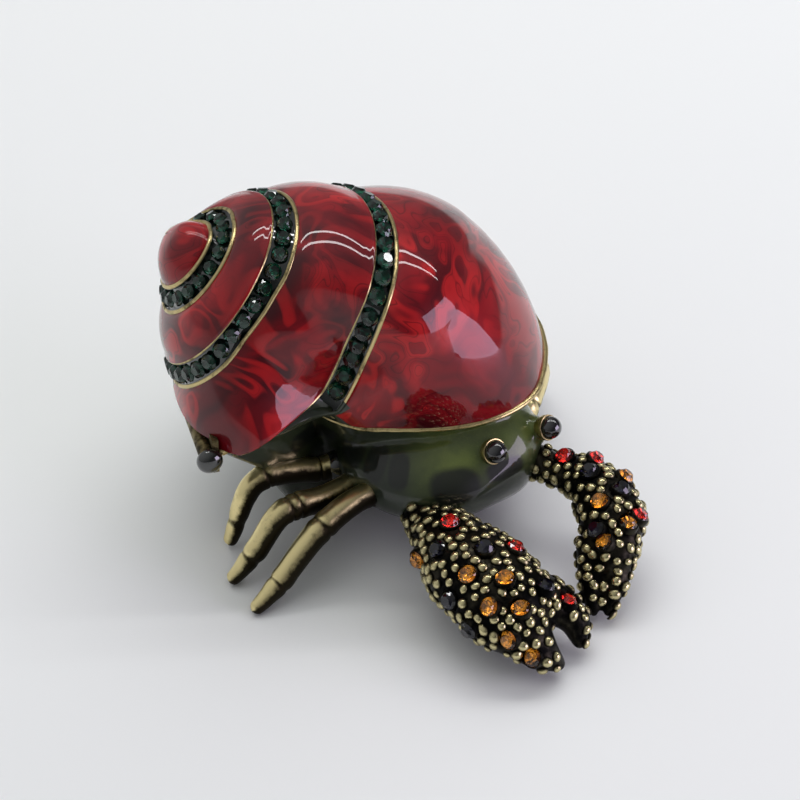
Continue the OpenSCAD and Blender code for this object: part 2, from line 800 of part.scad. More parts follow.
// Stones in the claws: [share of length, share of width sideways, height as a share of width, tilt]
right_topaz_shares = [
    [0.209, 0.426, 0.618, 89],
    [0.54, 0.439, 0.842, 32],
    [0.7, 0.275, 0.886, 7],
    [0.732, 0.536, 0.753, 48],
    [0.832, 0.33, 0.755, 12],
    [0.859, 0.498, 0.528, 78],
    [0.952, 0.347, 0.229, 125]
];
right_red_shares = [
    [0.245, 0.088, 0.896, 0],
    [0.569, -0.13, 0.828, -28],
    [0.883, -0.204, 0.534, -29]
];
right_black_shares = [
    [0.31, 0.376, 0.825, 43],
    [0.508, 0.151, 0.936, -2],
    [0.512, 0.617, 0.613, 68],
    [0.817, -0.035, 0.753, -25],
    [0.671, 0.671, 0.49, 97]
];
left_topaz_shares = [
    [0.403, 0.64, 1.083, 42],
    [0.57, 0.196, 1.112, -22],
    [0.746, 0.419, 0.994, 15],
    [0.8, 0.086, 0.896, -34]
];
left_red_shares = [
    [0.124, 0.092, 1.085, -16],
    [0.194, 0.429, 1.067, 37],
    [0.693, 0.604, 0.978, 37]
];
left_black_shares = [
    [0.329, 0.255, 1.154, -15],
    [0.525, 0.5, 1.143, 19],
    [0.711, 0.052, 0.953, -36]
];

// Puts a claw's own frame at its wrist; side is 1 for the crab's right claw and -1 for its left one
module claw_frame(side) {
    root = side > 0 ? right_root : left_root;
    translate(root)
    rotate([0, 0, side > 0 ? -90 + right_claw_turn : -90 - left_claw_turn])
    scale([1, side, 1])
    children();
}
function claw_l(side) = side > 0 ? right_claw_l : left_claw_l;
function claw_w(side) = side > 0 ? right_claw_w : left_claw_w;
module claw_ball(side, s) {
    translate([s[0] * claw_l(side), -s[1] * claw_w(side), s[2] * claw_w(side)])
    scale([1, 1, claw_flat_share])
    sphere(d = s[3] * claw_w(side), $fn = claw_sides);
}
claw_sides = 10;
function hand(side) = side > 0 ? right_hand_shares : left_hand_shares;
module claw_chain(side, stations) {
    for (k = [0:len(stations) - 2])
        hull() {
            claw_ball(side, stations[k]);
            claw_ball(side, stations[k + 1]);
        }
}
module claw_stones(side, places, extra) {
    w = claw_w(side);
    for (q = places) {
        place([q[0] * claw_l(side), -q[1] * w, q[2] * w], [0, -sin(q[3]), cos(q[3])])
        translate([0, 0, -sink_share * claw_stone_d - extra])
        cylinder(
            h = claw_stone_h_share * claw_stone_d + 2 * extra,
            d1 = claw_stone_d + 2 * extra,
            d2 = (table_share * claw_stone_d) + (extra > 0 ? claw_stone_d : 0),
            $fn = 6
        );
    }
}
sink_share = 0.1;
claw_stone_h_share = 0.45;
module claw(side) {
    color(dark_bronze)
    difference() {
        claw_frame(side) {
            claw_chain(side, hand(side));
            claw_chain(side, side > 0 ? right_outer_shares : left_outer_shares);
            claw_chain(side, side > 0 ? right_inner_shares : left_inner_shares);
        }
        body_form();
        arm(right_shoulder, right_wrist);
        arm(left_shoulder, left_wrist);
        claw_frame(side)
        claw_stones(
            side,
            side > 0
                ? concat(right_topaz_shares, right_red_shares, right_black_shares)
                : concat(left_topaz_shares, left_red_shares, left_black_shares),
            seat_gap
        );
    }
}

module right_claw_topaz() {
    color(topaz) claw_frame(1) claw_stones(1, right_topaz_shares, 0);
}

module right_claw_red() {
    color(siam_red) claw_frame(1) claw_stones(1, right_red_shares, 0);
}

module right_claw_black() {
    color(jet) claw_frame(1) claw_stones(1, right_black_shares, 0);
}

module left_claw_topaz() {
    color(topaz) claw_frame(-1) claw_stones(-1, left_topaz_shares, 0);
}

module left_claw_red() {
    color(siam_red) claw_frame(-1) claw_stones(-1, left_red_shares, 0);
}

module left_claw_black() {
    color(jet) claw_frame(-1) claw_stones(-1, left_black_shares, 0);
}

base_casting();
lid_casting();
apex_enamel();
spire_enamel();
body_whorl_enamel();
channel_crystals();
leaf(-1, [0, 2], [1], seat_gap);  // hinge_base_leaf
leaf(1, [1], [0, 2], pin_gap);  // hinge_lid_leaf
hinge_pin();
base_magnet();
lid_magnet();
leg(right_legs[0]);  // right_front_leg
leg(right_legs[1]);  // right_middle_leg
leg(right_legs[2]);  // right_rear_leg
leg(left_legs[0]);  // left_front_leg
leg(left_legs[1]);  // left_middle_leg
leg(left_legs[2]);  // left_rear_leg
claw(1);  // right_claw
claw(-1);  // left_claw
eye_cup(right_eye);  // right_eye_cup
eye_cup(left_eye);  // left_eye_cup
eye_bead(right_eye);  // right_eye_bead
eye_bead(left_eye);  // left_eye_bead
right_claw_topaz();
right_claw_red();
right_claw_black();
left_claw_topaz();
left_claw_red();
left_claw_black();
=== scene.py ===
import math
import random

import bpy
import numpy as np
from mathutils import Matrix, Vector


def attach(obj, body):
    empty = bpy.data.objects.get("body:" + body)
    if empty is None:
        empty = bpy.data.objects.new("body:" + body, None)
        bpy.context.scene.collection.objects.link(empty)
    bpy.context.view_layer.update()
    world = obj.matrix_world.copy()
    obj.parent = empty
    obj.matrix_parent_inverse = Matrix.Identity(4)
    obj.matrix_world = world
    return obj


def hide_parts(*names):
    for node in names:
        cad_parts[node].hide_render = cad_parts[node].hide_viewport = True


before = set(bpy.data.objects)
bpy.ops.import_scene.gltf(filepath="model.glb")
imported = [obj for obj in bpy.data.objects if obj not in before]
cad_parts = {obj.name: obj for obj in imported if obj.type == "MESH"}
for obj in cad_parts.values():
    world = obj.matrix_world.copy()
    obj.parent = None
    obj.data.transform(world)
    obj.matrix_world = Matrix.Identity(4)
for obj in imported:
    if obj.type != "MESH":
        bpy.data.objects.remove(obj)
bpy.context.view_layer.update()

MM = 0.001
rng = random.Random(11)
scene = bpy.context.scene


# Small helpers
def vec(*v):
    return np.array(v, float)


def unit(v):
    return v / np.linalg.norm(v)


def mix(a, b, s):
    return a + (b - a) * s


def smooth(s):
    return s * s * (3 - 2 * s)


def cos(a):
    return math.cos(math.radians(a))


def sin(a):
    return math.sin(math.radians(a))


def only(ob):
    bpy.ops.object.select_all(action="DESELECT")
    ob.select_set(True)
    bpy.context.view_layer.objects.active = ob


def new_object(name, points, faces):
    """A mesh object from points in millimetres."""
    mesh = bpy.data.meshes.new(name)
    mesh.from_pydata([tuple(float(c) * MM for c in p) for p in points], [], faces)
    mesh.update()
    ob = bpy.data.objects.new(name, mesh)
    scene.collection.objects.link(ob)
    return ob


def settle(ob):
    """Puts the object's own place into its mesh."""
    only(ob)
    bpy.ops.object.transform_apply(location=True, rotation=True, scale=True)


def outwards(ob):
    """Merges points that coincide and turns all faces outwards."""
    only(ob)
    bpy.ops.object.mode_set(mode="EDIT")
    bpy.ops.mesh.select_all(action="SELECT")
    bpy.ops.mesh.remove_doubles(threshold=1e-7)
    bpy.ops.mesh.normals_make_consistent(inside=False)
    bpy.ops.object.mode_set(mode="OBJECT")


def shade(ob, angle):
    """Smooth shading, apart from edges sharper than the angle in degrees."""
    only(ob)
    bpy.ops.object.shade_smooth_by_angle(angle=math.radians(angle))


def modify(ob, kind, **values):
    only(ob)
    m = ob.modifiers.new(kind.lower(), kind)
    for key, value in values.items():
        setattr(m, key, value)
    bpy.ops.object.modifier_apply(modifier=m.name)


def carve(ob, tool):
    """Takes the tool's room out of the piece and deletes the tool."""
    modify(ob, "BOOLEAN", object=tool, operation="DIFFERENCE", solver="EXACT")
    bpy.data.objects.remove(tool)


def joined(name, parts):
    bpy.ops.object.select_all(action="DESELECT")
    for p in parts:
        p.select_set(True)
    bpy.context.view_layer.objects.active = parts[0]
    if len(parts) > 1:
        bpy.ops.object.join()
    ob = bpy.context.view_layer.objects.active
    ob.name = name
    ob.data.name = name
    return ob


def trim_plane(ob, height, keep_above=True):
    """Cuts the mesh along a level plane and closes it there."""
    only(ob)
    bpy.ops.object.mode_set(mode="EDIT")
    bpy.ops.mesh.select_all(action="SELECT")
    bpy.ops.mesh.bisect(
        plane_co=(0, 0, height * MM), plane_no=(0, 0, 1), use_fill=True,
        clear_inner=keep_above, clear_outer=not keep_above, threshold=1e-7)
    bpy.ops.object.mode_set(mode="OBJECT")


def upright_cylinder(at, radius, height):
    """A cylinder that stands on a point, in millimetres."""
    middle = np.array(at, float) + vec(0, 0, 1) * height / 2
    upright = Vector((0, 0, 1)).to_track_quat("Z", "Y").to_euler()
    bpy.ops.mesh.primitive_cylinder_add(
        vertices=48, radius=radius * MM, depth=height * MM,
        location=Vector(middle) * MM, rotation=upright)
    ob = bpy.context.object
    settle(ob)
    return ob


def vertex_values(ob, kind):
    """A place ("co") or normal ("normal") for every vertex, as rows of three."""
    values = np.zeros(len(ob.data.vertices) * 3)
    ob.data.vertices.foreach_get(kind, values)
    return values.reshape(-1, 3)


def point_attribute(ob, name, values):
    """A value for every vertex, which a material reads by its name."""
    layer = ob.data.attributes.new(name, "FLOAT", "POINT")
    layer.data.foreach_set("value", np.asarray(values, np.float32))


def rings_of_faces(count, sides, start=0):
    """The quads between successive rings of points."""
    faces = []
    for j in range(count - 1):
        for k in range(sides):
            a, b = start + j * sides + k, start + j * sides + (k + 1) % sides
            faces.append((a, b, b + sides, a + sides))
    return faces


def circle(sides):
    """Cosine and sine at even steps round a circle."""
    return [(cos(k * 360 / sides), sin(k * 360 / sides)) for k in range(sides)]


# The camera stands where the photograph was taken from
view_turn, view_rise = -33, 40
towards = vec(sin(view_turn) * cos(view_rise), -cos(view_turn) * cos(view_rise), sin(view_rise))
right = vec(cos(view_turn), sin(view_turn), 0)
up = np.cross(towards, right)
apex = vec(-28, 20, 40)
# The apex stands left of the picture's middle and above it
aim = apex + right * 27.5 - up * 20.625
camera_away, camera_spread = 407, 14.01
eye_point = aim + towards * camera_away
camera_data = bpy.data.cameras.new("camera")
camera_data.sensor_width = 36
camera_data.lens = camera_data.sensor_width / 2 / math.tan(math.radians(camera_spread / 2))
camera_data.clip_start, camera_data.clip_end = 0.01, 10
camera = bpy.data.objects.new("camera", camera_data)
camera.matrix_world = Matrix((
    (right[0], up[0], towards[0], eye_point[0] * MM),
    (right[1], up[1], towards[1], eye_point[1] * MM),
    (right[2], up[2], towards[2], eye_point[2] * MM),
    (0, 0, 0, 1)))
scene.collection.objects.link(camera)
scene.camera = camera
scene.view_settings.view_transform = "Standard"


# Materials
class Finish:
    """A material and short calls for its nodes."""

    def __init__(self, name):
        self.material = bpy.data.materials.new(name)
        self.material.use_nodes = True
        self.tree = self.material.node_tree
        self.nodes = self.tree.nodes
        self.shader = self.nodes["Principled BSDF"]
        self.place = self.add("ShaderNodeTexCoord").outputs["Object"]

    def add(self, kind, **values):
        node = self.nodes.new(kind)
        for key, value in values.items():
            setattr(node, key, value)
        return node

    def link(self, source, target):
        self.tree.links.new(source, target)

    def set(self, **values):
        for key, value in values.items():
            self.shader.inputs[key.replace("_", " ")].default_value = value

    def noise(self, scale, detail=3.0, distortion=0.0, rough=0.5, place=None, colour=False):
        node = self.add("ShaderNodeTexNoise")
        node.inputs["Scale"].default_value = scale
        node.inputs["Detail"].default_value = detail
        node.inputs["Distortion"].default_value = distortion
        node.inputs["Roughness"].default_value = rough
        self.link(place or self.place, node.inputs["Vector"])
        return node.outputs["Color" if colour else "Fac"]

    def cells(self, scale):
        node = self.add("ShaderNodeTexVoronoi")
        node.inputs["Scale"].default_value = scale
        self.link(self.place, node.inputs["Vector"])
        return node.outputs["Distance"]

    def ramp(self, source, *stops):
        node = self.add("ShaderNodeValToRGB")
        node.color_ramp.interpolation = "EASE"
        elements = node.color_ramp.elements
        while len(elements) < len(stops):
            elements.new(0.5)
        for element, (position, colour) in zip(elements, stops):
            element.position = position
            element.color = (*colour, 1)
        self.link(source, node.inputs[0])
        return node.outputs[0]

    def curve(self, source, low, high, to_low=0.0, to_high=1.0):
        node = self.add("ShaderNodeMapRange", interpolation_type="SMOOTHSTEP")
        for key, value in zip(("From Min", "From Max", "To Min", "To Max"), (low, high, to_low, to_high)):
            node.inputs[key].default_value = value
        self.link(source, node.inputs["Value"])
        return node.outputs[0]

    def math(self, operation, a, b=None, c=None):
        node = self.add("ShaderNodeMath", operation=operation)
        for k, value in enumerate((a, b, c)):
            if value is None:
                continue
            if isinstance(value, (int, float)):
                node.inputs[k].default_value = value
            else:
                self.link(value, node.inputs[k])
        return node.outputs[0]

    def blend(self, share, a, b):
        node = self.add("ShaderNodeMix", data_type="RGBA")
        for key, value in ((0, share), (6, a), (7, b)):
            if isinstance(value, (int, float)):
                node.inputs[key].default_value = value
            elif isinstance(value, tuple):
                node.inputs[key].default_value = (*value, 1)
            else:
                self.link(value, node.inputs[key])
        return node.outputs[2]

    def shifted(self, amount, source):
        """Places moved about by a colour noise, which curls a pattern."""
        centred = self.add("ShaderNodeVectorMath", operation="SUBTRACT")
        centred.inputs[1].default_value = (0.5, 0.5, 0.5)
        self.link(source, centred.inputs[0])
        longer = self.add("ShaderNodeVectorMath", operation="SCALE")
        longer.inputs["Scale"].default_value = amount
        self.link(centred.outputs[0], longer.inputs[0])
        moved = self.add("ShaderNodeVectorMath", operation="ADD")
        self.link(self.place, moved.inputs[0])
        self.link(longer.outputs[0], moved.inputs[1])
        return moved.outputs[0]

    def attribute(self, name):
        return self.add("ShaderNodeAttribute", attribute_name=name).outputs["Fac"]

    def bump(self, height, strength, distance):
        node = self.add("ShaderNodeBump")
        node.inputs["Strength"].default_value = strength
        node.inputs["Distance"].default_value = distance
        self.link(height, node.inputs["Height"])
        self.link(node.outputs[0], self.shader.inputs["Normal"])

    def colour(self, source):
        self.link(source, self.shader.inputs["Base Color"])

    def rough(self, source):
        self.link(source, self.shader.inputs["Roughness"])


def pearl_enamel():
    """Deep red glass with lighter clouds and streaks that curl through it."""
    f = Finish("pearly_red_enamel")
    drift = f.shifted(0.011, f.noise(75, detail=1.5, colour=True))
    curl = f.noise(95, detail=1.2, distortion=1.6, rough=0.45, place=drift)
    waves = f.math("SINE", f.math("MULTIPLY", curl, 25.0))
    streak = f.curve(waves, -0.2, 1.0)
    patch = f.curve(f.noise(60, detail=1, place=drift), 0.40, 0.62)
    depth = f.ramp(f.noise(70, detail=2, distortion=1.0, place=drift),
                   (0.32, (0.045, 0.001, 0.004)), (0.46, (0.12, 0.002, 0.006)),
                   (0.55, (0.23, 0.003, 0.008)), (0.68, (0.40, 0.006, 0.010)))
    ribbon = f.math("MULTIPLY", streak, f.math("MULTIPLY_ADD", patch, 0.70, 0.20))
    pearl = f.blend(ribbon, depth, (0.50, 0.012, 0.014))
    # Thin dark lines run along the eddies
    lines = f.math("ABSOLUTE", f.math("SINE", f.math("MULTIPLY", curl, 46.0)))
    where = f.curve(f.noise(90, detail=1), 0.42, 0.60, 0.10, 0.62)
    thin = f.math("MULTIPLY", f.curve(lines, 0.42, 0.0), where)
    f.colour(f.blend(thin, pearl, (0.060, 0.001, 0.004)))
    f.set(Metallic=0.08, Roughness=0.42, Specular_IOR_Level=0.08,
          Coat_Weight=1.0, Coat_Roughness=0.015, Coat_IOR=1.42)
    return f.material


def metal(name, bright, dark, roughness, scale, grime, reads_wear_and_shade=False, bump=0.25):
    """Antique metal: bright where it is rubbed, dark in the hollows. With the flag set, a point attribute
    also lightens and darkens it, 1 polished and 0 dark: on the legs it holds painted light and shade as well
    as wear."""
    f = Finish(name)
    spots = f.noise(scale, detail=4, rough=0.65)
    broad = f.noise(scale / 5, detail=3)
    mask = f.math("MULTIPLY_ADD", spots, 0.5, f.math("MULTIPLY", broad, 0.5))
    mask = f.curve(mask, grime - 0.12, grime + 0.1)
    if reads_wear_and_shade:
        # The point attribute brings wear and, on the legs, painted light and shade
        lifted = f.math("ADD", f.attribute("wear_and_shade"), f.math("MULTIPLY_ADD", spots, 0.5, -0.25))
        lifted = f.curve(lifted, 0.25, 0.75)
        mask = f.math("MULTIPLY", lifted, f.math("MULTIPLY_ADD", mask, 0.45, 0.55))
    f.colour(f.blend(mask, dark, bright))
    f.rough(f.curve(mask, 0, 1, roughness + 0.22, roughness))
    f.set(Metallic=1.0)
    f.bump(spots, bump, 0.00006)
    return f.material


def crystal(name, tint, foil):
    """Cut glass, and the mirror foil behind it."""
    f = Finish(name)
    cloud = f.noise(2500, detail=1)
    f.colour(f.blend(f.curve(cloud, 0.35, 0.65), tuple(c * 0.75 for c in tint), tint))
    f.set(Roughness=0.02, IOR=1.62, Transmission_Weight=1.0)
    g = Finish(name + "_foil")
    speck = g.noise(4000, detail=1)
    g.colour(g.blend(g.curve(speck, 0.4, 0.6), tuple(c * 0.6 for c in foil), foil))
    g.set(Roughness=0.12, Metallic=1.0)
    return f.material, g.material


def black_gloss(name, tone):
    """Glossy black lacquer or glass, with a little dust."""
    f = Finish(name)
    dust = f.noise(1800, detail=3)
    f.colour(f.blend(f.curve(dust, 0.35, 0.7), tuple(c * 0.5 for c in tone), tone))
    f.rough(f.curve(dust, 0.3, 0.8, 0.04, 0.10))
    f.set(Coat_Weight=1.0, Coat_Roughness=0.01, Coat_IOR=1.6)
    return f.material


def green_enamel():
    """Dark green glass with a fine glitter, painted lighter olive on the top of the head and darker on the
    flanks as painted light and shade. The attribute "patch" darkens it to near black as painted shade.
    """
    f = Finish("glitter_green_enamel")
    glitter = f.cells(5200)
    spark = f.curve(glitter, 0.22, 0.05)
    cloud = f.curve(f.noise(170, detail=3), 0.35, 0.65)
    separate = f.add("ShaderNodeSeparateXYZ")
    f.link(f.place, separate.inputs[0])
    # Painted light and shade: a lighter olive with glitter on the top of the head, fading to darker green on
    # the flanks
    across = f.math("ABSOLUTE", f.math("SUBTRACT", separate.outputs[0], 0.0035))
    reach = f.math("ADD", f.math("MULTIPLY", across, 0.55), separate.outputs[1])
    head = f.curve(separate.outputs[2], 0.0100, 0.0150)
    head = f.math("MULTIPLY", head, f.curve(reach, 0.0045, -0.006))
    lit_olive = f.blend(cloud, (0.055, 0.080, 0.014), (0.115, 0.155, 0.026))
    lit_olive = f.blend(f.math("MULTIPLY", spark, 0.50), lit_olive, (0.36, 0.42, 0.10))
    shaded_green = f.blend(cloud, (0.010, 0.017, 0.007), (0.022, 0.032, 0.012))
    shown = f.blend(head, shaded_green, lit_olive)
    # Painted shade: the patch attribute darkens the green to near black
    f.colour(f.blend(f.attribute("patch"), shown, (0.003, 0.005, 0.003)))
    f.set(Metallic=0.1, Roughness=0.45, Specular_IOR_Level=0.3,
          Coat_Weight=1.0, Coat_Roughness=0.012, Coat_IOR=1.42)
    return f.material


red_enamel = pearl_enamel()
green = green_enamel()
rim_brass = metal("rubbed_brass", (0.62, 0.50, 0.24), (0.13, 0.10, 0.045),
                  roughness=0.30, scale=1500, grime=0.43)
# The legs' brass takes painted light and shade as well as wear from a point attribute
leg_brass = metal("worn_shaded_leg_brass", (0.88, 0.75, 0.38), (0.022, 0.018, 0.010),
                  roughness=0.30, scale=1100, grime=0.38, reads_wear_and_shade=True, bump=0.35)
grain_brass = metal("bead_brass", (0.62, 0.55, 0.30), (0.020, 0.018, 0.012),
                    roughness=0.25, scale=1600, grime=0.38, reads_wear_and_shade=True)
inner_brass = metal("lining_brass", (0.42, 0.33, 0.17), (0.10, 0.075, 0.035),
                    roughness=0.42, scale=500, grime=0.47)
dull_brass = metal("dull_hinge_brass", (0.24, 0.19, 0.09), (0.03, 0.024, 0.012),
                   roughness=0.38, scale=900, grime=0.5)
claw_metal = metal("blackened_metal", (0.035, 0.031, 0.022), (0.004, 0.004, 0.004),
                   roughness=0.30, scale=900, grime=0.55)
# Painted shade: a glossy black sheet lines the channel's floor under the stones
channel_shade = black_gloss("channel_painted_shade", (0.010, 0.016, 0.013))
socket_black = black_gloss("socket_lacquer", (0.010, 0.012, 0.010))
jet_glass = black_gloss("jet_glass", (0.006, 0.006, 0.009))
steel = metal("magnet_steel", (0.62, 0.63, 0.65), (0.36, 0.36, 0.38),
              roughness=0.28, scale=2500, grime=0.4, bump=0.1)
emerald, emerald_foil = crystal("emerald_crystal", (0.07, 0.28, 0.20), (0.07, 0.17, 0.13))
topaz, topaz_foil = crystal("topaz_crystal", (1.0, 0.52, 0.10), (1.0, 0.74, 0.36))
ruby, ruby_foil = crystal("red_crystal", (1.0, 0.09, 0.07), (1.0, 0.42, 0.36))
night, night_foil = crystal("black_crystal", (0.09, 0.085, 0.14), (0.06, 0.06, 0.10))


def dress(ob, *materials):
    ob.data.materials.clear()
    for m in materials:
        ob.data.materials.append(m)


def finish_piece(ob, body, slot, *materials, stands_for=None):
    """The piece rides on a body, gets its materials and may stand for a node of the model."""
    if materials:
        dress(ob, *materials)
    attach(ob, body)
    if stands_for:
        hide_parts(stands_for)


# The shell's growth, by turn, in millimetres
spire_r, whorl_growth, spire_drop, whorl_drop = 3, 7.35, 1.9, 3.5
apex_rise, pole_depth, whorl_bulge, knob_r = 0.8, 58, 0.1, 3.0
channel_w, channel_depth, rim_w, least_rims, taper = 3.7, 0.9, 0.5, 2.4, 0.12
enamel_t, parting_z, parting_gap, wall = 0.5, 18, 0.12, 1.6
shell_phase, first_turn, last_turn = -4, -0.375, 2.5
# Near its mouth the shell leaves its even growth: shares of that growth at these turns
mouth_turns = [2.1, 2.17, 2.25, 2.33, 2.39, 2.48, 2.62, 2.82, 3.05, 3.25, 3.36, 3.6]
mouth_shares = {
    "radius": [1, 0.63, 0.553, 1, 1.035, 1.01, 1.015, 1.05, 0.83, 0.476, 0.343, 0.35],
    "depth": [1, 1.17, 1.21, 0.962, 0.868, 0.888, 0.93, 1.026, 0.856, 0.707, 0.623, 0.6]}
# How far the curve between them takes up their slopes: 0 stops at each, 1 runs through
slope_share = 0.5
axis = vec(cos(32) * cos(43.8), -sin(32) * cos(43.8), -sin(43.8))
lift = unit(vec(0, 0, 1) - axis * axis[2])
side = np.cross(axis, lift)


def spoke(t):
    a = 360 * t + shell_phase
    return lift * cos(a) + side * sin(a)


def shell_point(t, p):
    return apex + axis * p[1] + spoke(t) * p[0]


def slopes(shares):
    """A slope at every listed turn that keeps the curve between them free of waves."""
    gaps = np.diff(mouth_turns)
    steep = np.diff(shares) / gaps
    found = [0.0]
    for k in range(1, len(shares) - 1):
        a, b = steep[k - 1], steep[k]
        if a * b <= 0:
            found.append(0.0)
        else:
            wa, wb = 2 * gaps[k] + gaps[k - 1], gaps[k] + 2 * gaps[k - 1]
            found.append(slope_share * (wa + wb) / (wa / a + wb / b))
    return found + [0.0]


mouth_slopes = {kind: slopes(shares) for kind, shares in mouth_shares.items()}


def mouth(kind, t):
    """The share of the even growth that is left at a turn."""
    shares = mouth_shares[kind]
    if t <= mouth_turns[0]:
        return 1.0
    k = max(i for i in range(len(mouth_turns) - 1) if mouth_turns[i] <= t)
    gap = mouth_turns[k + 1] - mouth_turns[k]
    s = (t - mouth_turns[k]) / gap
    lean = mouth_slopes[kind]
    bend = lean[k] * (1 - s) - lean[k + 1] * s
    return mix(shares[k], shares[k + 1], smooth(s)) + gap * s * (1 - s) * bend


def even(t):
    """Radius and depth of the even growth."""
    return vec(max(knob_r, spire_r + whorl_growth * t), spire_drop + whorl_drop * t * abs(t))


def started(t):
    return smooth(min(1, max(0, (t - first_turn) / 0.3)))


def edge(t):
    """The channel's inner edge. Its start lies on the dome over the apex, without a step."""
    r, d = even(t)
    end_r, end_d = even(first_turn + 1)
    d = mix(mix(-apex_rise, end_d, (r / end_r) ** 3), d, started(t))
    return vec(r * mouth("radius", t), d * mouth("depth", t))


def along(t):
    return unit(edge(t + 1) - edge(t))


def outward(t):
    a = along(t)
    return vec(a[1], -a[0])


def width(t):
    return max(least_rims * rim_w, channel_w * min(1, (t - first_turn) / taper))


def at(t, s, off):
    """A point s along the shell's slope from the channel's edge, and off it."""
    return edge(t) + along(t) * s + outward(t) * off


def bulge(t, share):
    """How far a whorl is crowned between two turns of the channel."""
    span = np.linalg.norm(edge(t + 1) - at(t, width(t), 0))
    return whorl_bulge * mix(0.35, 1, started(t)) * span * max(0.0, sin(180 * share)) ** 0.8


def band(t, share, off):
    """A point of the whorl between two turns of the channel."""
    return mix(at(t, width(t), 0), edge(t + 1), share) + outward(t) * (bulge(t, share) + off)


def cap(t, share, off):
    """A point of the dome over the apex."""
    return vec(edge(t)[0] * share, mix(-apex_rise, edge(t)[1], share ** 3) - off)


def closing(t, share, off):
    """A point of the round end under the last turn."""
    r, d = edge(t + 1)
    return vec((r + off) * cos(90 * share), mix(d, pole_depth + off, sin(90 * share)))


def whorl_reach(t, depth):
    s = (depth - edge(t)[1]) / (edge(t + 1)[1] - edge(t)[1])
    w = width(t) / np.linalg.norm(edge(t + 1) - edge(t))
    extra = 0 if s < w else bulge(t, (s - w) / (1 - w)) / outward(t)[0]
    return mix(edge(t)[0], edge(t + 1)[0], s) + extra


def shell_reach(turn, depth):
    f = turn - math.floor(turn - first_turn)
    e = [edge(f + k) for k in range(4)]
    if depth < e[0][1]:
        return e[0][0] * math.sqrt(max(0, (depth + apex_rise) / (e[0][1] + apex_rise)))
    for k in (1, 2, 3):
        if depth < e[k][1]:
            return whorl_reach(f + k - 1, depth)
    return e[3][0] * math.sqrt(max(0, 1 - ((depth - e[3][1]) / (pole_depth - e[3][1])) ** 2))


def in_shell(p):
    q = p - apex
    depth = q @ axis
    v = q - axis * depth
    turn = (math.degrees(math.atan2(v @ side, v @ lift)) - shell_phase) / 360
    return np.linalg.norm(v) < shell_reach(turn, depth)


bowl_x, bowl_y = -10, 9
rays = 144


def ray(k, d, z):
    """A point at a distance from the bowl's middle, on one of the even rays."""
    a = k * 360 / rays
    return vec(bowl_x + d * cos(a), bowl_y + d * sin(a), z)


def outline_at(z):
    """How far the shell reaches along every ray at a height."""
    found = []
    for k in range(rays):
        lo, hi = 0.0, 32.0
        for _ in range(13):
            d = (lo + hi) / 2
            lo, hi = (d, hi) if in_shell(ray(k, d, z)) else (lo, d)
        found.append(lo)
    return np.array(found)


outline = outline_at(parting_z)


def ringed(name, rings):
    """A closed solid from level rings round the bowl's middle."""
    points = []
    for z, distances in rings:
        points += [ray(k, distances[k], z) for k in range(rays)]
    faces = rings_of_faces(len(rings), rays)
    faces.append(tuple(range(rays))[::-1])
    top = (len(rings) - 1) * rays
    faces.append(tuple(top + i for i in range(rays)))
    return new_object(name, points, faces)


# The lid
steps = 96
columns = round((last_turn - first_turn) * steps)


def casting_row(t):
    """The casting's section at a turn: rim, channel, rim and the bed of the enamel."""
    w = width(t)
    rounded = [(0, 0), (0.08, 0.07), (0.25, 0.11), (0.42, 0.07), (rim_w, -0.02)]
    row = [at(t, s, off) for s, off in rounded]
    row += [at(t, rim_w, -channel_depth), at(t, w - rim_w, -channel_depth)]
    row += [at(t, w - s, off) for s, off in rounded[::-1]]
    row += [band(t, k / 14, -enamel_t) for k in range(15)]
    return row


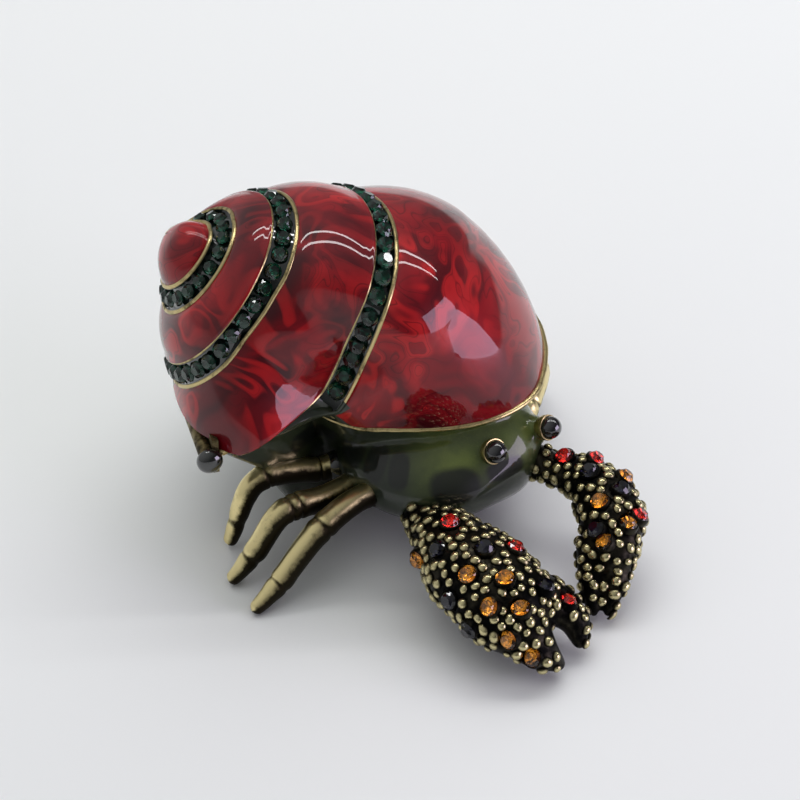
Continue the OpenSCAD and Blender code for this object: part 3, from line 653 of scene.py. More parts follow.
def wound_solid(name):
    """The casting: one surface wound over the turns, with the apex and the body whorl closed."""
    rows = [casting_row(first_turn + i / steps) for i in range(columns + 1)]
    dome = [0.92, 0.7, 0.45, 0.2]
    caps = [[cap(first_turn + i / steps, s, -enamel_t) for s in dome] for i in range(steps + 1)]
    rounds = [k / 10 for k in range(1, 10)]
    ends = [[closing(last_turn - 1 + i / steps, s, -enamel_t) for s in rounds] for i in range(steps + 1)]
    m, n, c, b = len(rows[0]), columns, len(dome), len(rounds)
    cap_0 = (n + 1) * m
    close_0 = cap_0 + (steps + 1) * c
    top = close_0 + (steps + 1) * b
    points = [shell_point(first_turn + i / steps, p) for i, r in enumerate(rows) for p in r]
    points += [shell_point(first_turn + i / steps, p) for i, r in enumerate(caps) for p in r]
    points += [shell_point(first_turn + (n - steps + i) / steps, p) for i, r in enumerate(ends) for p in r]
    points += [shell_point(first_turn, (0, d)) for d in (enamel_t - apex_rise, pole_depth - enamel_t)]

    def row(i, j):
        return i * m + j if j < m else (i + steps) * m

    def shut(i, k):
        return (i + n - steps) * m + m - 1 if k < 0 else close_0 + i * b + k

    def near(i, k):
        return i * m if k < 0 else cap_0 + i * c + k

    faces = []
    for i in range(n):
        for j in range(m):
            if j < m - 1 or i + steps < n:
                faces.append((row(i, j), row(i, j + 1), row(i + 1, j + 1), row(i + 1, j)))
    for i in range(steps):
        for k in range(-1, b - 1):
            faces.append((shut(i, k), shut(i, k + 1), shut(i + 1, k + 1), shut(i + 1, k)))
        faces.append((shut(i, b - 1), top + 1, shut(i + 1, b - 1)))
        for k in range(-1, c - 1):
            faces.append((near(i, k), near(i + 1, k), near(i + 1, k + 1), near(i, k + 1)))
        faces.append((near(i, c - 1), near(i + 1, c - 1), top))
    faces.append([row(n, j) for j in range(m)] + [shut(steps, k) for k in range(b)] + [top + 1]
                 + [shut(0, k) for k in range(b - 1, -1, -1)])
    faces.append([near(0, k) for k in range(-1, c)] + [top] + [near(steps, k) for k in range(c - 1, -1, -1)]
                 + [row(0, j) for j in range(m - 1, 0, -1)])
    ob = new_object(name, points, faces)
    modify(ob, "TRIANGULATE")
    return ob


# The hinge's pin runs along y from this place, turned about z
hinge_at, hinge_turn = (-34.4, 3.7, parting_z), -17
hinge_matrix = Matrix.Translation(Vector(hinge_at) * MM) @ Matrix.Rotation(
    math.radians(hinge_turn), 4, "Z")
# In the hinge's frame both castings are cut flat at flat_x, between two ends in y
flat_x, room_y, room_h = 1.35, (-2.5, 23.5), 3.2
magnet_r, magnet_deep, boss_r, boss_deep = 1.55, 2.2, 2.7, 3.2
catch_x = bowl_x + outline[0] - wall - 1.5 - 0.6


def hinge_block(low, high):
    """A block between two corners, in millimetres, in the hinge's frame."""
    low, high = np.array(low, float), np.array(high, float)
    bpy.ops.mesh.primitive_cube_add(size=1, location=Vector((low + high) / 2) * MM)
    ob = bpy.context.object
    ob.scale = Vector(high - low) * MM
    settle(ob)
    ob.data.transform(hinge_matrix)
    return ob


def flat_room(high=room_h):
    """The room that the hinge's leaves and knuckles take, up to a height over the pin."""
    return hinge_block((-60, room_y[0], -room_h), (flat_x, room_y[1], high))


def hollow_tool(name, rings):
    """The room inside a casting, with a full wall left behind the hinge and round the magnet."""
    tool = ringed(name, rings)
    carve(tool, hinge_block((-60, -4.1, -4.4), (flat_x + wall, 25.1, 4.4)))
    carve(tool, upright_cylinder((catch_x, bowl_y, parting_z - boss_deep), boss_r, boss_deep * 2))
    return tool


# The room in the lid narrows towards its top: insets as shares of wall and enamel
levels = np.linspace(-1, 16, 12)
insets = np.interp(levels, [-1, 5, 11, 16], [1.15, 1.45, 2, 3.2])
lid_rings = []
for h, inset in zip(levels, insets):
    reach = outline_at(max(parting_z + h, parting_z))
    lid_rings.append((parting_z + h, np.maximum(1, reach - (wall + enamel_t) * inset)))
lid = wound_solid("lid_shell")
outwards(lid)
trim_plane(lid, parting_z + parting_gap)
carve(lid, hollow_tool("lid_hollow", lid_rings))
carve(lid, flat_room(1.7))
carve(lid, upright_cylinder((catch_x, bowl_y, parting_z - 1), magnet_r, 2.22))
shade(lid, 40)
finish_piece(lid, "lid", "antique_brass", rim_brass, green, stands_for="lid_casting")
# Past the front rim the channel runs out into the body's own green
tail = np.array([shell_point(t, at(t, width(t) / 2, -0.4)) for t in np.linspace(2.262, 2.36, 12)])
lobe_rim = np.array([shell_point(t, at(t, rim_w / 2, 0.05)) for t in np.linspace(2.24, 2.42, 60)])
for face in lid.data.polygons:
    c = np.array(face.center) / MM
    in_tail = np.linalg.norm(tail - c, axis=1).min() < 2.2
    off_rim = np.linalg.norm(lobe_rim - c, axis=1).min() > 0.5
    face.material_index = int(c[2] < parting_z + 5 and in_tail and off_rim)


def tube(name, sections, closed=False):
    """A skin over rings of points, with ends unless it closes on itself."""
    points = [p for ring in sections for p in ring]
    m, n = len(sections[0]), len(sections)
    faces = []
    for i in range(n if closed else n - 1):
        for j in range(m):
            a, b = i * m + j, i * m + (j + 1) % m
            c, d = ((i + 1) % n) * m + (j + 1) % m, ((i + 1) % n) * m + j
            faces.append((a, b, c, d))
    if not closed:
        faces.append(tuple(range(m))[::-1])
        faces.append(tuple((n - 1) * m + j for j in range(m)))
    ob = new_object(name, points, faces)
    outwards(ob)
    return ob


# The brass bead round the lid's rim, a little uneven as on the casting
bead_top, bead_r, bead_sag = 0.7, 0.44, 0.05
bead_z = parting_z + (parting_gap + bead_top) / 2 + 0.02
bead_rings = []
for k in range(rays):
    here = ray(k, outline[k] - bead_sag, bead_z)
    out = unit(ray(k, 1, 0) - ray(k, 0, 0))
    r = bead_r + 0.03 * math.sin(k * 1.7)
    bead_rings.append([here + out * r * cos(a) + vec(0, 0, r * 0.78 * sin(a)) for a in range(0, 360, 30)])
bead = tube("lid_rim_bead", bead_rings, closed=True)
carve(bead, flat_room())
shade(bead, 60)
finish_piece(bead, "lid", "antique_brass", rim_brass)


def strip(name, start, stop, upper, lower):
    """A closed skin from an upper and a lower line of points, wound from one turn to another."""
    n = round((stop - start) * steps)
    rows = []
    for i in range(n + 1):
        t = mix(start, stop, i / n)
        rows.append([shell_point(t, p) for p in upper(t)] + [shell_point(t, p) for p in lower(t)[::-1]])
    return tube(name, rows)


def glaze_line(t, off, closed):
    """The enamel between two channels: it stands full in the middle and creeps onto the inner rim."""
    rows = 22
    line = []
    for k in range(rows + 1):
        s = k / rows
        brim = 0.06 * (1 - smooth(min(1, s / 0.12)))
        brim -= 0 if closed else 0.10 * smooth(max(0, (s - 0.9) / 0.1))
        line.append(band(t, s, off - (brim if off == 0 else 0)))
    if not closed and off == 0:
        line += [at(t + 1, 0.12, 0.16), at(t + 1, 0.26, 0.135)]
    elif not closed:
        line += [at(t + 1, 0.12, 0.02), at(t + 1, 0.26, 0.02)]
    else:
        line += [closing(t, c / 14, off) for c in range(1, 14)]
    return line


spire = strip("spire_glaze", first_turn, last_turn - 1, lambda t: glaze_line(t, 0, False),
              lambda t: glaze_line(t, 0.02 - enamel_t, False))
whorl = strip("body_whorl_glaze", last_turn - 1, last_turn, lambda t: glaze_line(t, 0, True),
              lambda t: glaze_line(t, 0.02 - enamel_t, True))
for piece, node in ((spire, "spire_enamel"), (whorl, "body_whorl_enamel")):
    trim_plane(piece, parting_z + 0.72)
    carve(piece, flat_room(1.8))
    shade(piece, 50)
    finish_piece(piece, "lid", "red_enamel", red_enamel, green, stands_for=node)
# Its end past the front rim is green, as the body is
for face in whorl.data.polygons:
    c = np.array(face.center) / MM
    face.material_index = int(c[0] < -17.1 and c[1] < 6)

dome = []
dome_turns = [first_turn + i / steps for i in range(steps)]
for j in range(1, 13):
    s = j / 12
    dome.append([shell_point(t, cap(t, s, 0.05 * (1 - s))) for t in dome_turns])
dome.append([shell_point(t, cap(t, 0.98, 0.05 - enamel_t)) for t in dome_turns])
knob = tube("apex_glaze", dome)
shade(knob, 60)
finish_piece(knob, "lid", "red_enamel", red_enamel, stands_for="apex_enamel")


def bed_line(t, off):
    """The channel's dark sheet of painted shade at a turn: it creeps up both sides."""
    near, far = rim_w + off, width(t) - rim_w - off
    top, floor_off = -0.12, 0.03 - channel_depth + off
    return [at(t, near, top), at(t, near, floor_off), at(t, far, floor_off), at(t, far, top)]


# A dark sheet of painted shade fills the channel's floor under the stones
bed = strip("channel_bed", first_turn + 0.02, 2.27, lambda t: bed_line(t, 0.05), lambda t: bed_line(t, -0.03))
trim_plane(bed, parting_z + 0.2)
shade(bed, 30)
finish_piece(bed, "lid", "antique_brass", channel_shade)


# Cut stones
stone_high, stone_deep = 0.30, 0.30


def stone_mesh(d):
    """A round cut stone: table, star and main facets, girdle and a foil-backed pavilion."""
    sides = 8
    n = sides * 2
    r, h = d / 2, d * stone_high
    points, faces = [], []
    for share, high, first, count in ((1, 0, 0, n), (1, -0.06 * d, 0, n),
                                      (0.78, h * 0.52, 0, sides), (0.56, h, 0.5, sides)):
        for k in range(count):
            a = (k + first) * 360 / count
            points.append(vec(share * r * cos(a), share * r * sin(a), high))
    points.append(vec(0, 0, -stone_deep * d))
    main, table, tip = 2 * n, 2 * n + sides, 2 * n + 2 * sides
    for k in range(sides):
        k2 = (k + 1) % sides
        a, b, c = 2 * k, 2 * k + 1, (2 * k + 2) % n
        faces.append((a, b, main + k))
        faces.append((b, c, main + k2))
        faces.append((main + k, b, main + k2, table + k))
        faces.append((main + k2, table + k2, table + k))
    faces.append(tuple(table + k for k in range(sides)))
    for k in range(n):
        faces.append((k, n + k, n + (k + 1) % n, (k + 1) % n))
    crown = len(faces)
    for k in range(n):
        faces.append((n + (k + 1) % n, n + k, tip))
    return points, faces, crown


def placed(points, here, direction, spin=0.0):
    """Points moved to a place, with their z along a direction."""
    d = unit(np.array(direction, float))
    helper = vec(0, 0, 1) if abs(d[2]) < 0.9 else vec(1, 0, 0)
    a = unit(np.cross(helper, d))
    b = np.cross(d, a)
    a, b = a * cos(spin) + b * sin(spin), b * cos(spin) - a * sin(spin)
    return [np.array(here) + a * p[0] + b * p[1] + d * p[2] for p in points]


def stones_object(name, settings, glass, foil):
    """One object of cut stones: settings are (place, direction, diameter)."""
    points, faces, foiled = [], [], []
    for here, direction, d in settings:
        p, f, crown = stone_mesh(d)
        start = len(points)
        points += placed(p, here, direction, rng.uniform(0, 45))
        foiled += [i >= crown for i in range(len(f))]
        faces += [tuple(start + i for i in q) for q in f]
    ob = new_object(name, points, faces)
    dress(ob, glass, foil)
    for face, f in zip(ob.data.polygons, foiled):
        face.material_index = int(f)
        face.use_smooth = False
    return ob


def stone_d(t):
    """The stones grow with the turns."""
    return mix(1.8, 2.4, min(1, (t + 0.12) / 2.38))


def channel_middle(t):
    return at(t, width(t) / 2, -channel_depth)


first_stone, last_stone, stone_gap = -0.20, 2.25, 0.15
t, settings = first_stone, []
while t <= last_stone:
    here = shell_point(t, channel_middle(t))
    o = outward(t)
    normal = axis * o[1] + spoke(t) * o[0]
    if here[2] > parting_z + 1.7:
        d = stone_d(t)
        settings.append((here + normal * (0.06 + stone_deep * d), normal, d * 1.03))
    step = np.linalg.norm(shell_point(t + 0.01, channel_middle(t + 0.01)) - here) / 0.01
    t += (stone_d(t) + stone_gap) / step
stones = stones_object("channel_stones", settings, emerald, emerald_foil)
finish_piece(stones, "lid", "emerald_crystal", stands_for="channel_crystals")


# The body
def ball(centre, radii, rings=40, around=64):
    """Points over an ellipsoid."""
    out = []
    for i in range(rings + 1):
        b = -90 + 180 * i / rings
        for k in range(around if 0 < i < rings else 1):
            a = k * 360 / around
            out.append(np.array(centre) + np.array(radii) * vec(cos(b) * cos(a), cos(b) * sin(a), sin(b)))
    return out


def hull_object(name, points):
    ob = new_object(name, points, [])
    only(ob)
    bpy.ops.object.mode_set(mode="EDIT")
    bpy.ops.mesh.select_all(action="SELECT")
    bpy.ops.mesh.convex_hull()
    bpy.ops.object.mode_set(mode="OBJECT")
    return ob


# The bowl's width by height, as a share of its outline at the parting line
bowl_levels = np.linspace(0, 1, 22)
fit = np.polyfit([0, 0.14, 0.3, 0.5, 0.7, 0.86, 1], [0.4, 0.47, 0.54, 0.64, 0.77, 0.91, 0.985], 4)
bowl_shares = np.polyval(fit, bowl_levels)


def bowl_rings(inset, z0, z1):
    return [(mix(z0, z1, v), outline * s - inset) for v, s in zip(bowl_levels, bowl_shares)]


head_size = vec(11.5, 13.5, 8.2)
head_balls = [(vec(0.8, -3.6, 10.3), head_size * vec(0.72, 0.74, 0.98)),
              (vec(-4, -1.2, 9.6), head_size * vec(1.12, 0.94, 0.88))]
head = hull_object("head", ball(*head_balls[0]) + ball(*head_balls[1]))
bowl = ringed("bowl", bowl_rings(0, 0, parting_z + 0.6))
outwards(bowl)
foot = upright_cylinder((0, 0, 0), 5, 4.2)
# The head swells a little under each eye
mounds = [hull_object("mound", ball(centre, 2.1, 20, 32))
          for centre in ((-1.5, -10.1, 13.4), (5.9, -9.6, 13.3))]
body = joined("body_shell", [head, bowl, foot] + mounds)
modify(body, "REMESH", mode="VOXEL", voxel_size=0.00034, adaptivity=0)
modify(body, "SMOOTH", factor=0.5, iterations=14)
trim_plane(body, parting_z, keep_above=False)
trim_plane(body, 0.0, keep_above=True)
carve(body, hollow_tool("bowl_hollow", bowl_rings(wall, 2, parting_z + 1)))
carve(body, flat_room())
carve(body, upright_cylinder((catch_x, bowl_y, parting_z - 1.05), magnet_r, magnet_deep))
shade(body, 40)
finish_piece(body, "base", "green_enamel", green, inner_brass, stands_for="base_casting")
# Painted shade: dark rounded squares on the flank and a large one under the eyes: middle, half width, half
# height
shade_patches = [((-15.39, -0.02, 12.7), 2.1, 1.35), ((-14.45, -4.02, 13.2), 1.55, 1.7),
           ((-12.91, -7.02, 13.3), 1.35, 1.6), ((-7.7, -12.26, 12.0), 3.2, 1.9),
           ((-18.9, 4.5, 13.6), 3.6, 1.5), ((-0.6, -13.2, 12.4), 2.6, 1.2)]
co = vertex_values(body, "co") / MM
dark = np.zeros(len(co))
for middle, half_w, half_h in shade_patches:
    out = unit(vec(*middle) - vec(-4, 2, middle[2]))
    level = vec(-out[1], out[0], 0)
    q = co - vec(*middle)
    away = (np.abs(q @ level) / half_w) ** 2.8 + (np.abs(q[:, 2]) / half_h) ** 2.8
    edge_of = np.clip((1.4 - away) / 0.7, 0, 1) * 0.92
    dark = np.maximum(dark, np.where(np.abs(q @ out) < 3.0, edge_of, 0))
# The patches of painted shade go to the material as a point attribute
point_attribute(body, "patch", dark)
# The bowl's inside is lined with brass
for face in body.data.polygons:
    c = np.array(face.center) / MM
    back = c - ray(0, 0, c[2])
    k = round(math.degrees(math.atan2(back[1], back[0])) / 360 * rays) % rays
    share = np.interp(min(1, max(0, c[2] / parting_z)), bowl_levels, bowl_shares)
    if c[2] > 1.9 and np.hypot(back[0], back[1]) < outline[k] * share - 0.5 and (
            face.normal.dot(Vector(back)) < 0 or c[2] < 2.1):
        face.material_index = 1


# Legs
# Heights and thickness are shares at these places along a leg
leg_along = [0, 0.14, 0.3, 0.5, 0.64, 0.8, 1]
leg_thick = [1, 0.94, 0.98, 1, 0.93, 0.86, 0.5]
leg_d, leg_tip, knee = 3.45, 1.4, 9.5
# At a joint the leg is pinched by a groove, and swells beside it
groove_wide, groove_deep = 0.012, 0.065
swell_at, swell_wide, swell_high = 0.030, 0.026, 0.045
rounded_from = 0.97
left_high = [0.86, 0.98, 1.0, 0.9, 0.74, 0.42, 0]
# Root, tip, sideways bow and heights of every leg, and where its joints are
legs = {
    "right_front_leg": (((-13, -3.9, 7.5), (-35.2, -7.3), -0.4,
                         [0.86, 0.95, 0.98, 0.86, 0.62, 0.27, 0]), [0.12, 0.49, 0.81]),
    "right_middle_leg": (((-15.3, -0.6, 8), (-34.9, -1.0), -1.1,
                          [0.86, 0.86, 0.90, 1.0, 0.94, 0.45, 0]), [0.50, 0.56, 0.84]),
    "right_rear_leg": (((-16.1, 3.1, 8.6), (-31.4, 5.1), 0.9,
                        [0.86, 0.86, 0.92, 0.99, 1.0, 0.80, 0]), [0.14, 0.62, 0.90]),
    "left_front_leg": (((9.2, -2.6, 8.5), (20, 14.5), 2.4, left_high), [0.12, 0.49, 0.81]),
    "left_middle_leg": (((9.6, 4.4, 8), (19, 21.5), -0.6, left_high), [0.50, 0.56, 0.84]),
    "left_rear_leg": (((7.6, 10.6, 8), (13, 27.5), -1, left_high), [0.14, 0.62, 0.90]),
}


def leg_place(leg, s):
    """The leg's middle at a share of its length, on a smooth curve through the heights."""
    root, tip, bow, leg_high = leg
    away = unit(vec(tip[0] - root[0], tip[1] - root[1], 0))
    out = sin(180 * s) * bow
    k = min(5, max(i for i in range(7) if leg_along[i] <= s))
    h = [root[2]] + [leg_tip / 2 + (knee - leg_tip / 2) * share for share in leg_high[1:]]
    u = (s - leg_along[k]) / (leg_along[k + 1] - leg_along[k])
    h0, h1 = h[max(0, k - 1)], h[min(6, k + 2)]
    z = 0.5 * (2 * h[k] + (h[k + 1] - h0) * u + (2 * h0 - 5 * h[k] + 4 * h[k + 1] - h1) * u * u
               + (3 * h[k] - h0 - 3 * h[k + 1] + h1) * u ** 3)
    return vec(mix(root[0], tip[0], s) + away[1] * out, mix(root[1], tip[1], s) - away[0] * out, z)


def leg_object(name, leg, joints):
    """A segmented leg: each segment swells and is pinched by a groove where it meets the next."""
    n, m = 150, 28
    rings, wear_and_shade = [], []
    for i in range(n + 1):
        s = 0.02 + 0.98 * i / n
        here = leg_place(leg, s)
        ahead = unit(leg_place(leg, min(1, s + 0.01)) - leg_place(leg, max(0, s - 0.01)))
        level = unit(np.cross(ahead, vec(0, 0, 1)))
        upper = np.cross(level, ahead)
        r = leg_d / 2 * np.interp(s, leg_along, leg_thick)
        pinch = min(abs(s - j) for j in joints)
        groove = math.exp(-(pinch / groove_wide) ** 2)
        r *= 1 - groove_deep * groove
        r *= 1 + swell_high * math.exp(-((pinch - swell_at) / swell_wide) ** 2)
        if s > rounded_from:
            r *= math.sqrt(max(0.02, 1 - ((s - rounded_from) / 0.031) ** 2))
        ring = []
        for k in range(m):
            a = k * 360 / m
            # A rubbed ridge along the top, a flatter flank below it
            q = r * (1 + 0.07 * max(0, sin(a)) ** 3 - 0.05 * max(0, -sin(a)))
            p = here + level * q * cos(a) + upper * q * sin(a)
            p[2] = max(p[2], 0.02)
            ring.append(p)
            # Painted light and shade with the wear: lighter on top and on one flank, darker underneath, in
            # the grooves and near the root
            top = sin(a) * 0.70 + (0.46 if level[1] > 0 else 0.25) * cos(a) + 0.30
            wear_and_shade.append(max(0, min(1, top)) * (1 - 0.55 * groove) * min(1, 0.75 + s * 2.2))
        rings.append(ring)
    ob = tube(name, rings)
    # Merging keeps the order of the points, so the values of painted shade and wear go with them
    if len(ob.data.vertices) == len(wear_and_shade):
        point_attribute(ob, "wear_and_shade", wear_and_shade)
    shade(ob, 60)
    return ob


for name, (leg, joints) in legs.items():
    piece = leg_object(name + "_casting", leg, joints)
    finish_piece(piece, "base", "antique_brass", leg_brass, stands_for=name)
# Black lacquer beads fill the sockets round the legs' roots
beads = []
for (root, tip, _, _), _ in legs.values():
    away = unit(vec(tip[0] - root[0], tip[1] - root[1], 0))
    behind = np.array(root) - away * 2.6 + vec(0, 0, 0.5)
    beads += [hull_object("socket", ball(centre, r, 20, 32)) for centre, r in ((root, 1.92), (behind, 1.9))]
sockets = joined("leg_sockets", beads)
shade(sockets, 60)
finish_piece(sockets, "base", "jet", socket_black)


# Claws
# The right claw has the key 1, the left one -1: length, width, root and turn
claw_l = {1: 26, -1: 22}
claw_w = {1: 13.5, -1: 10.5}
root_of = {1: vec(-12.3, -11, 0), -1: vec(7.5, -11.5, 0)}
turn_of = {1: -90 + 12.4, -1: -90 - 15}
flat_share = 0.78
# Palm, main finger and small finger, each a chain of flattened balls: along, out and height,
# and diameter, as shares of the claw's length and width
hands = {
    1: [[[0.04, 0, 0.6, 0.34], [0.2, 0.05, 0.62, 0.66], [0.45, 0.15, 0.58, 0.96],
         [0.63, 0.18, 0.5, 0.98]],
        [[0.72, 0.26, 0.44, 0.80], [0.84, 0.29, 0.37, 0.54], [0.93, 0.28, 0.27, 0.40],
         [1.0, 0.18, 0.14, 0.20]],
        [[0.74, -0.08, 0.45, 0.58], [0.84, -0.19, 0.40, 0.42], [0.92, -0.23, 0.30, 0.32],
         [0.985, -0.17, 0.15, 0.17]]],
    -1: [[[0.02, -0.2, 0.86, 0.4], [0.23, 0.26, 0.9, 0.6], [0.42, 0.38, 0.88, 0.78],
          [0.58, 0.36, 0.82, 0.84], [0.76, 0.22, 0.68, 0.66]],
         [[0.76, 0.28, 0.66, 0.5], [0.9, 0.16, 0.42, 0.36], [1, 0.0, 0.15, 0.16]],
         [[0.7, 0.02, 0.66, 0.44], [0.83, -0.1, 0.46, 0.36], [0.91, -0.16, 0.3, 0.26],
          [0.97, -0.16, 0.14, 0.16]]],
}
# Stones: along, out and height as shares, and the tilt in degrees
stone_size, stone_lift = 2.4, 0.32
claw_stones = {
    1: {"topaz": [[0.209, 0.426, 0.618, 89], [0.54, 0.439, 0.842, 32], [0.7, 0.275, 0.886, 7],
                  [0.732, 0.536, 0.753, 48], [0.832, 0.33, 0.715, 14], [0.859, 0.525, 0.50, 70],
                  [0.955, 0.40, 0.31, 55]],
        "red": [[0.245, 0.088, 0.896, 0], [0.569, -0.13, 0.828, -28], [0.883, -0.204, 0.497, -29]],
        "black": [[0.31, 0.376, 0.825, 43], [0.508, 0.151, 0.936, -2], [0.512, 0.617, 0.613, 68],
                  [0.817, -0.035, 0.715, -25], [0.671, 0.671, 0.49, 97]]},
    -1: {"topaz": [[0.403, 0.64, 1.083, 42], [0.57, 0.196, 1.112, -22], [0.746, 0.419, 0.994, 15],
                   [0.8, 0.086, 0.896, -34]],
         "red": [[0.124, 0.092, 1.085, -16], [0.194, 0.429, 1.067, 37], [0.693, 0.604, 0.978, 37]],
         "black": [[0.329, 0.255, 1.154, -15], [0.525, 0.5, 1.143, 19], [0.711, 0.052, 0.953, -36]]},
}
# A shoulder inside the head and a wrist outside it
arms = {1: ((-6.5, -5, 8.5), (-12.3, -11, 8)), -1: ((3.5, -6.5, 9), (6.2, -12.2, 9.2))}
shoulder_r, wrist_r = 2.7, 2.2


def claw_turned(which, v):
    """From the claw's own frame to the object's."""
    x, y, z = v[0], v[1] * which, v[2]
    a = turn_of[which]
    return vec(x * cos(a) - y * sin(a), x * sin(a) + y * cos(a), z)


def claw_own(which, u, out, z):
    """A point of the claw's own frame, from shares of its length and width."""
    return u * claw_l[which], -out * claw_w[which], z * claw_w[which]


def claw_ball(which, s):
    """One flattened ball of a chain, thinner by the height of the grains' bed."""
    r = s[3] * claw_w[which] / 2 - 0.15
    points = ball(claw_own(which, *s[:3]), (r, r, r * flat_share), 18, 30)
    return [root_of[which] + claw_turned(which, p) for p in points]


def claw_body(which, name):
    """Palm, fingers and arm as one smooth skin."""
    parts = []
    for chain in hands[which]:
        for a, b in zip(chain, chain[1:]):
            parts.append(hull_object("link", claw_ball(which, a) + claw_ball(which, b)))
    shoulder, wrist = arms[which]
    parts.append(hull_object("link", ball(shoulder, shoulder_r, 16, 24) + ball(wrist, wrist_r, 16, 24)))
    for p in parts:
        outwards(p)
    ob = joined(name, parts)
    modify(ob, "REMESH", mode="VOXEL", voxel_size=0.0003, adaptivity=0)
    modify(ob, "SMOOTH", factor=0.5, iterations=16)
    trim_plane(ob, 0.02, keep_above=True)
    return ob


# Radius and height of a grain's rings, as shares
grain_rings = [(1.0, 0.0), (0.97, 0.3), (0.78, 0.66), (0.42, 0.93)]
grain_sides, grain_gap, most_grains = 10, 1.34, 700
stone_room = 1.2 + 0.62
# Grains stay off the lowest part and off faces that look this far down
lowest_grain, steepest_grain = 0.9, -0.55
grain_sunk = 0.12


def press_pocket(ob, here, normal, radius, depth):
    """Presses the skin under a stone down to a flat floor."""
    for v in ob.data.vertices:
        q = np.array(v.co) / MM - here
        high = q @ normal
        if -depth < high < 2.0 and np.linalg.norm(q - normal * high) < radius:
            v.co = Vector((here + q - normal * (high + depth)) * MM)


def faces_gap(which, p, n):
    """True on the side of a finger that looks at the other finger."""
    a = -turn_of[which]
    x, y = p[0] - root_of[which][0], p[1] - root_of[which][1]
    along_claw = (x * cos(a) - y * sin(a)) / claw_l[which]
    out = -(x * sin(a) + y * cos(a)) * which / claw_w[which]
    turned_out = -(n[0] * sin(a) + n[1] * cos(a)) * which
    middle = np.interp(along_claw, [0.78, 1.0], [0.05, 0.0] if which > 0 else [0.14, -0.08])
    return along_claw > 0.8 and turned_out * (1 if out > middle else -1) < -0.3


def grain_spots(which, co, no, spots):
    """The claw's vertices that carry a grain: spaced out and clear of stones, floor and head."""
    order = list(range(len(co)))
    rng.shuffle(order)
    taken = []
    spot_at = np.array([s[0] for s in spots])
    for i in order:
        p = co[i]
        if p[2] < lowest_grain or no[i][2] < steepest_grain:
            continue
        if in_body(p) or faces_gap(which, p, no[i]):
            continue
        if np.linalg.norm(spot_at - p, axis=1).min() < stone_room:
            continue
        if taken:
            nearest = np.linalg.norm(co[taken] - p, axis=1).min()
            if nearest < grain_gap * (0.86 + 0.2 * rng.random()):
                continue
        taken.append(i)
        if len(taken) >= most_grains:
            break
    return taken


def grains(name, which, ob, spots):
    """Little brass beads over a claw, kept clear of its stones."""
    co, no = vertex_values(ob, "co") / MM, vertex_values(ob, "normal")
    points, faces, wear_and_shade = [], [], []
    for i in grain_spots(which, co, no, spots):
        r = rng.uniform(0.55, 0.76)
        h = r * rng.uniform(0.85, 1.05)
        stretch = rng.uniform(1.0, 1.3)
        local = []
        for share, high in grain_rings:
            for x, y in circle(grain_sides):
                local.append(vec(r * share * x * stretch, r * share * y, h * high - grain_sunk))
                wear_and_shade.append(high * 0.95 - 0.05)
        local.append(vec(0, 0, h - grain_sunk))
        wear_and_shade.append(1.0)
        start = len(points)
        points += placed(local, co[i], no[i], rng.uniform(0, 180))
        g = grain_sides
        faces += rings_of_faces(len(grain_rings), g, start)
        last = start + (len(grain_rings) - 1) * g
        tip = start + len(local) - 1
        for k in range(g):
            faces.append((last + k, last + (k + 1) % g, tip))
        faces.append(tuple(start + k for k in range(g))[::-1])
    made = new_object(name, points, faces)
    point_attribute(made, "wear_and_shade", wear_and_shade)
    for f in made.data.polygons:
        f.use_smooth = True
    return made


def in_body(p):
    """True inside the head."""
    return any(np.linalg.norm((p - centre) / radii) < 1.0 for centre, radii in head_balls)


glasses = {"topaz": (topaz, topaz_foil), "red": (ruby, ruby_foil), "black": (night, night_foil)}
slots = {"topaz": "topaz_crystal", "red": "red_crystal", "black": "jet"}
pocket_r, pocket_deep = 1.28, 0.95
# Radius and height of the rings of the collar that holds a stone
collar_rings = ((1.36, -0.9), (1.40, -0.25), (1.34, -0.02), (1.22, 0.05), (1.16, -0.10), (1.13, -0.9))
for which, word in ((1, "right"), (-1, "left")):
    spots = {}
    for colour, places in claw_stones[which].items():
        spots[colour] = []
        for u, out, z, tilt in places:
            normal = claw_turned(which, (0, -sin(tilt), cos(tilt)))
            here = root_of[which] + claw_turned(which, claw_own(which, u, out, z))
            spots[colour].append((here + normal * stone_lift, normal, stone_size))
    claw = claw_body(which, word + "_claw_casting")
    for group in spots.values():
        for here, normal, _ in group:
            press_pocket(claw, here, normal, pocket_r, pocket_deep)
    shade(claw, 50)
    finish_piece(claw, "base", "dark_bronze", claw_metal, stands_for=word + "_claw")
    every = [s for group in spots.values() for s in group]
    beads = grains(word + "_claw_grains", which, claw, every)
    finish_piece(beads, "base", "antique_brass", grain_brass)
    collars = []
    for here, normal, _ in every:
        rings = [placed([vec(radius * x, radius * y, high) for x, y in circle(24)], here, normal)
                 for radius, high in collar_rings]
        collars.append(tube("collar", rings))
    collar = joined(word + "_claw_collars", collars)
    shade(collar, 40)
    finish_piece(collar, "base", "dark_bronze", claw_metal)
    for colour, group in spots.items():
        piece = stones_object(f"{word}_claw_{colour}_stones", group, *glasses[colour])
        finish_piece(piece, "base", slots[colour], stands_for=f"{word}_claw_{colour}")


# Eyes, hinge and magnets
def turned_solid(name, here, direction, profile):
    """A piece turned about an axis: its profile is a list of (radius, height)."""
    rings = [placed([vec(r * x, r * y, h) for x, y in circle(48)], here, direction) for r, h in profile]
    return tube(name, rings)


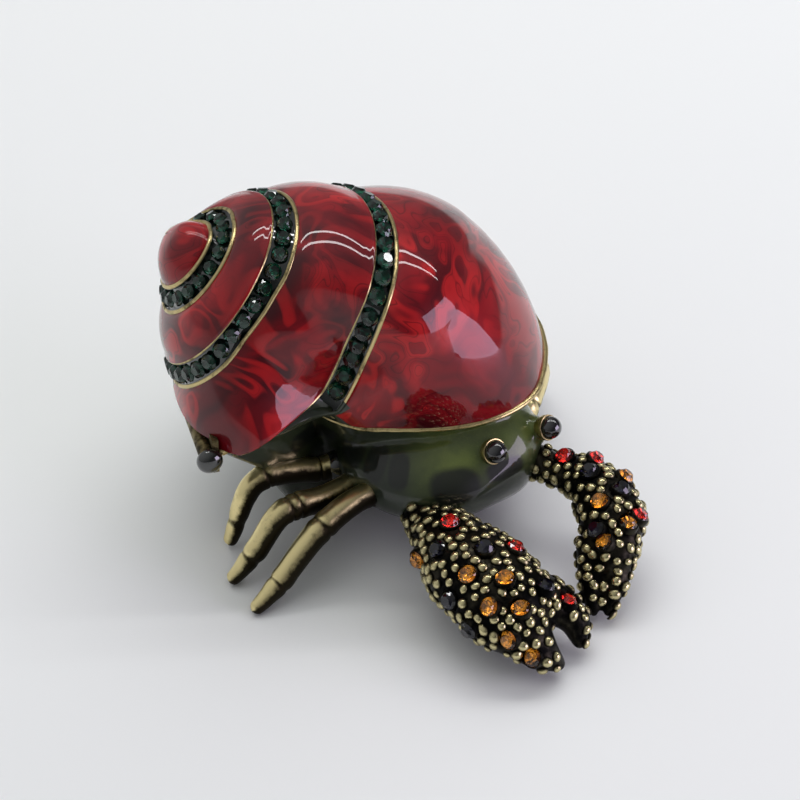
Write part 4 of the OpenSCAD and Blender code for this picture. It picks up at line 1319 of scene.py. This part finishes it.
eye_r = 1.48
cup_profile = [(1.35, 4.6), (1.22, 3.0), (1.05, 2.3), (1.14, 1.9), (1.42, 1.5), (1.62, 1.0),
               (1.70, 0.45), (1.66, 0.22), (1.54, 0.20), (1.46, 0.40), (1.30, 0.80), (0.95, 1.15),
               (0.5, 1.38), (0.2, 1.44)]
for word, here, looks in (("right", vec(-1.7, -12.3, 15.2), (0.05, -0.86, 0.42)),
                          ("left", vec(6.9, -12.1, 15.1), (0.28, -0.80, 0.42))):
    away = unit(vec(*looks))
    bead = hull_object(word + "_eye_ball", ball(here, eye_r, 30, 48))
    outwards(bead)
    shade(bead, 60)
    finish_piece(bead, "base", "jet", jet_glass, stands_for=word + "_eye_bead")
    cup = turned_solid(word + "_eye_socket", here, -away, cup_profile)
    shade(cup, 50)
    finish_piece(cup, "base", "antique_brass", rim_brass, stands_for=word + "_eye_cup")

# A domed black knob closes the end of the hinge's barrel that the camera sees
barrel_end = np.array(hinge_matrix @ Vector((0, 0, 0))) / MM
barrel_way = np.array(hinge_matrix.to_3x3() @ Vector((0, -1, 0)))
knob_rings = [(1.30, 0.12), (1.62, 0.25), (1.70, 0.60), (1.62, 1.00),
              (1.36, 1.38), (0.92, 1.66), (0.40, 1.80), (0.1, 1.83)]
hinge_knob = turned_solid("hinge_knob", barrel_end, barrel_way, knob_rings)
shade(hinge_knob, 50)
finish_piece(hinge_knob, "base", "jet", socket_black)

# These nodes keep their shape
for node, material in (
        ("hinge_base_leaf", dull_brass), ("hinge_lid_leaf", dull_brass),
        ("hinge_pin", claw_metal), ("base_magnet", steel), ("lid_magnet", steel)):
    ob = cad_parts[node]
    dress(ob, material)
    shade(ob, 35)


# Floor, light and air
pale = Finish("studio_floor")
pale.colour(pale.blend(pale.noise(6, detail=1), (0.84, 0.86, 0.85), (0.87, 0.88, 0.87)))
pale.set(Roughness=0.55)
bpy.ops.mesh.primitive_plane_add(size=4, location=(0, 0, 0))
floor = bpy.context.object
floor.name = "studio_floor"
dress(floor, pale.material)

world = bpy.data.worlds.new("studio_air")
scene.world = world
world.use_nodes = True
air = world.node_tree
back = air.nodes["Background"]
back.inputs[0].default_value = (0.95, 0.96, 0.97, 1)
# The air is brighter towards the viewer's left and the top
place = air.nodes.new("ShaderNodeTexCoord")
turned = air.nodes.new("ShaderNodeVectorMath")
turned.operation = "DOT_PRODUCT"
turned.inputs[1].default_value = (-0.60, 0.52, 0.61)
room = air.nodes.new("ShaderNodeMapRange")
for key, value in zip(("From Min", "From Max", "To Min", "To Max"), (-0.2, 1.0, 0.10, 0.55)):
    room.inputs[key].default_value = value
air.links.new(place.outputs["Generated"], turned.inputs[0])
air.links.new(turned.outputs["Value"], room.inputs["Value"])
air.links.new(room.outputs[0], back.inputs[1])


def lamp(name, at_mm, aim_mm, size, power, colour=(1, 1, 1), size_y=None):
    """An area lamp that looks at a point, both in millimetres."""
    data = bpy.data.lights.new(name, "AREA")
    data.energy = power
    data.color = colour
    data.size = size
    if size_y:
        data.shape = "RECTANGLE"
        data.size_y = size_y
    ob = bpy.data.objects.new(name, data)
    scene.collection.objects.link(ob)
    ob.location = Vector(at_mm) * MM
    ob.rotation_euler = (Vector(aim_mm) - Vector(at_mm)).to_track_quat("-Z", "Y").to_euler()
    return ob


# Two overhead tubes and a lilac umbrella lamp show in the glaze. A soft sky gives the even light
for name, at_mm in (("tube_near", (330, 60, 600)), ("tube_far", (330, 190, 600))):
    tube_lamp = lamp(name, at_mm, (0, 0, 0), 1.05, 1.05, size_y=0.022)
    tube_lamp.rotation_euler = (0, 0, math.radians(-30))
lamp("umbrella", (418, -498, 70), (-5, 0, 22), 0.46, 3.5, (0.86, 0.74, 1.0), size_y=0.50)
for name, at_mm, size, power in (("soft_sky", (60, 160, 1000), 1.6, 3.5),
                                 ("soft_back", (420, 420, 520), 0.6, 1.1)):
    lamp(name, at_mm, (-8, 0, 10), size, power, (0.97, 0.985, 1.0)).visible_glossy = False
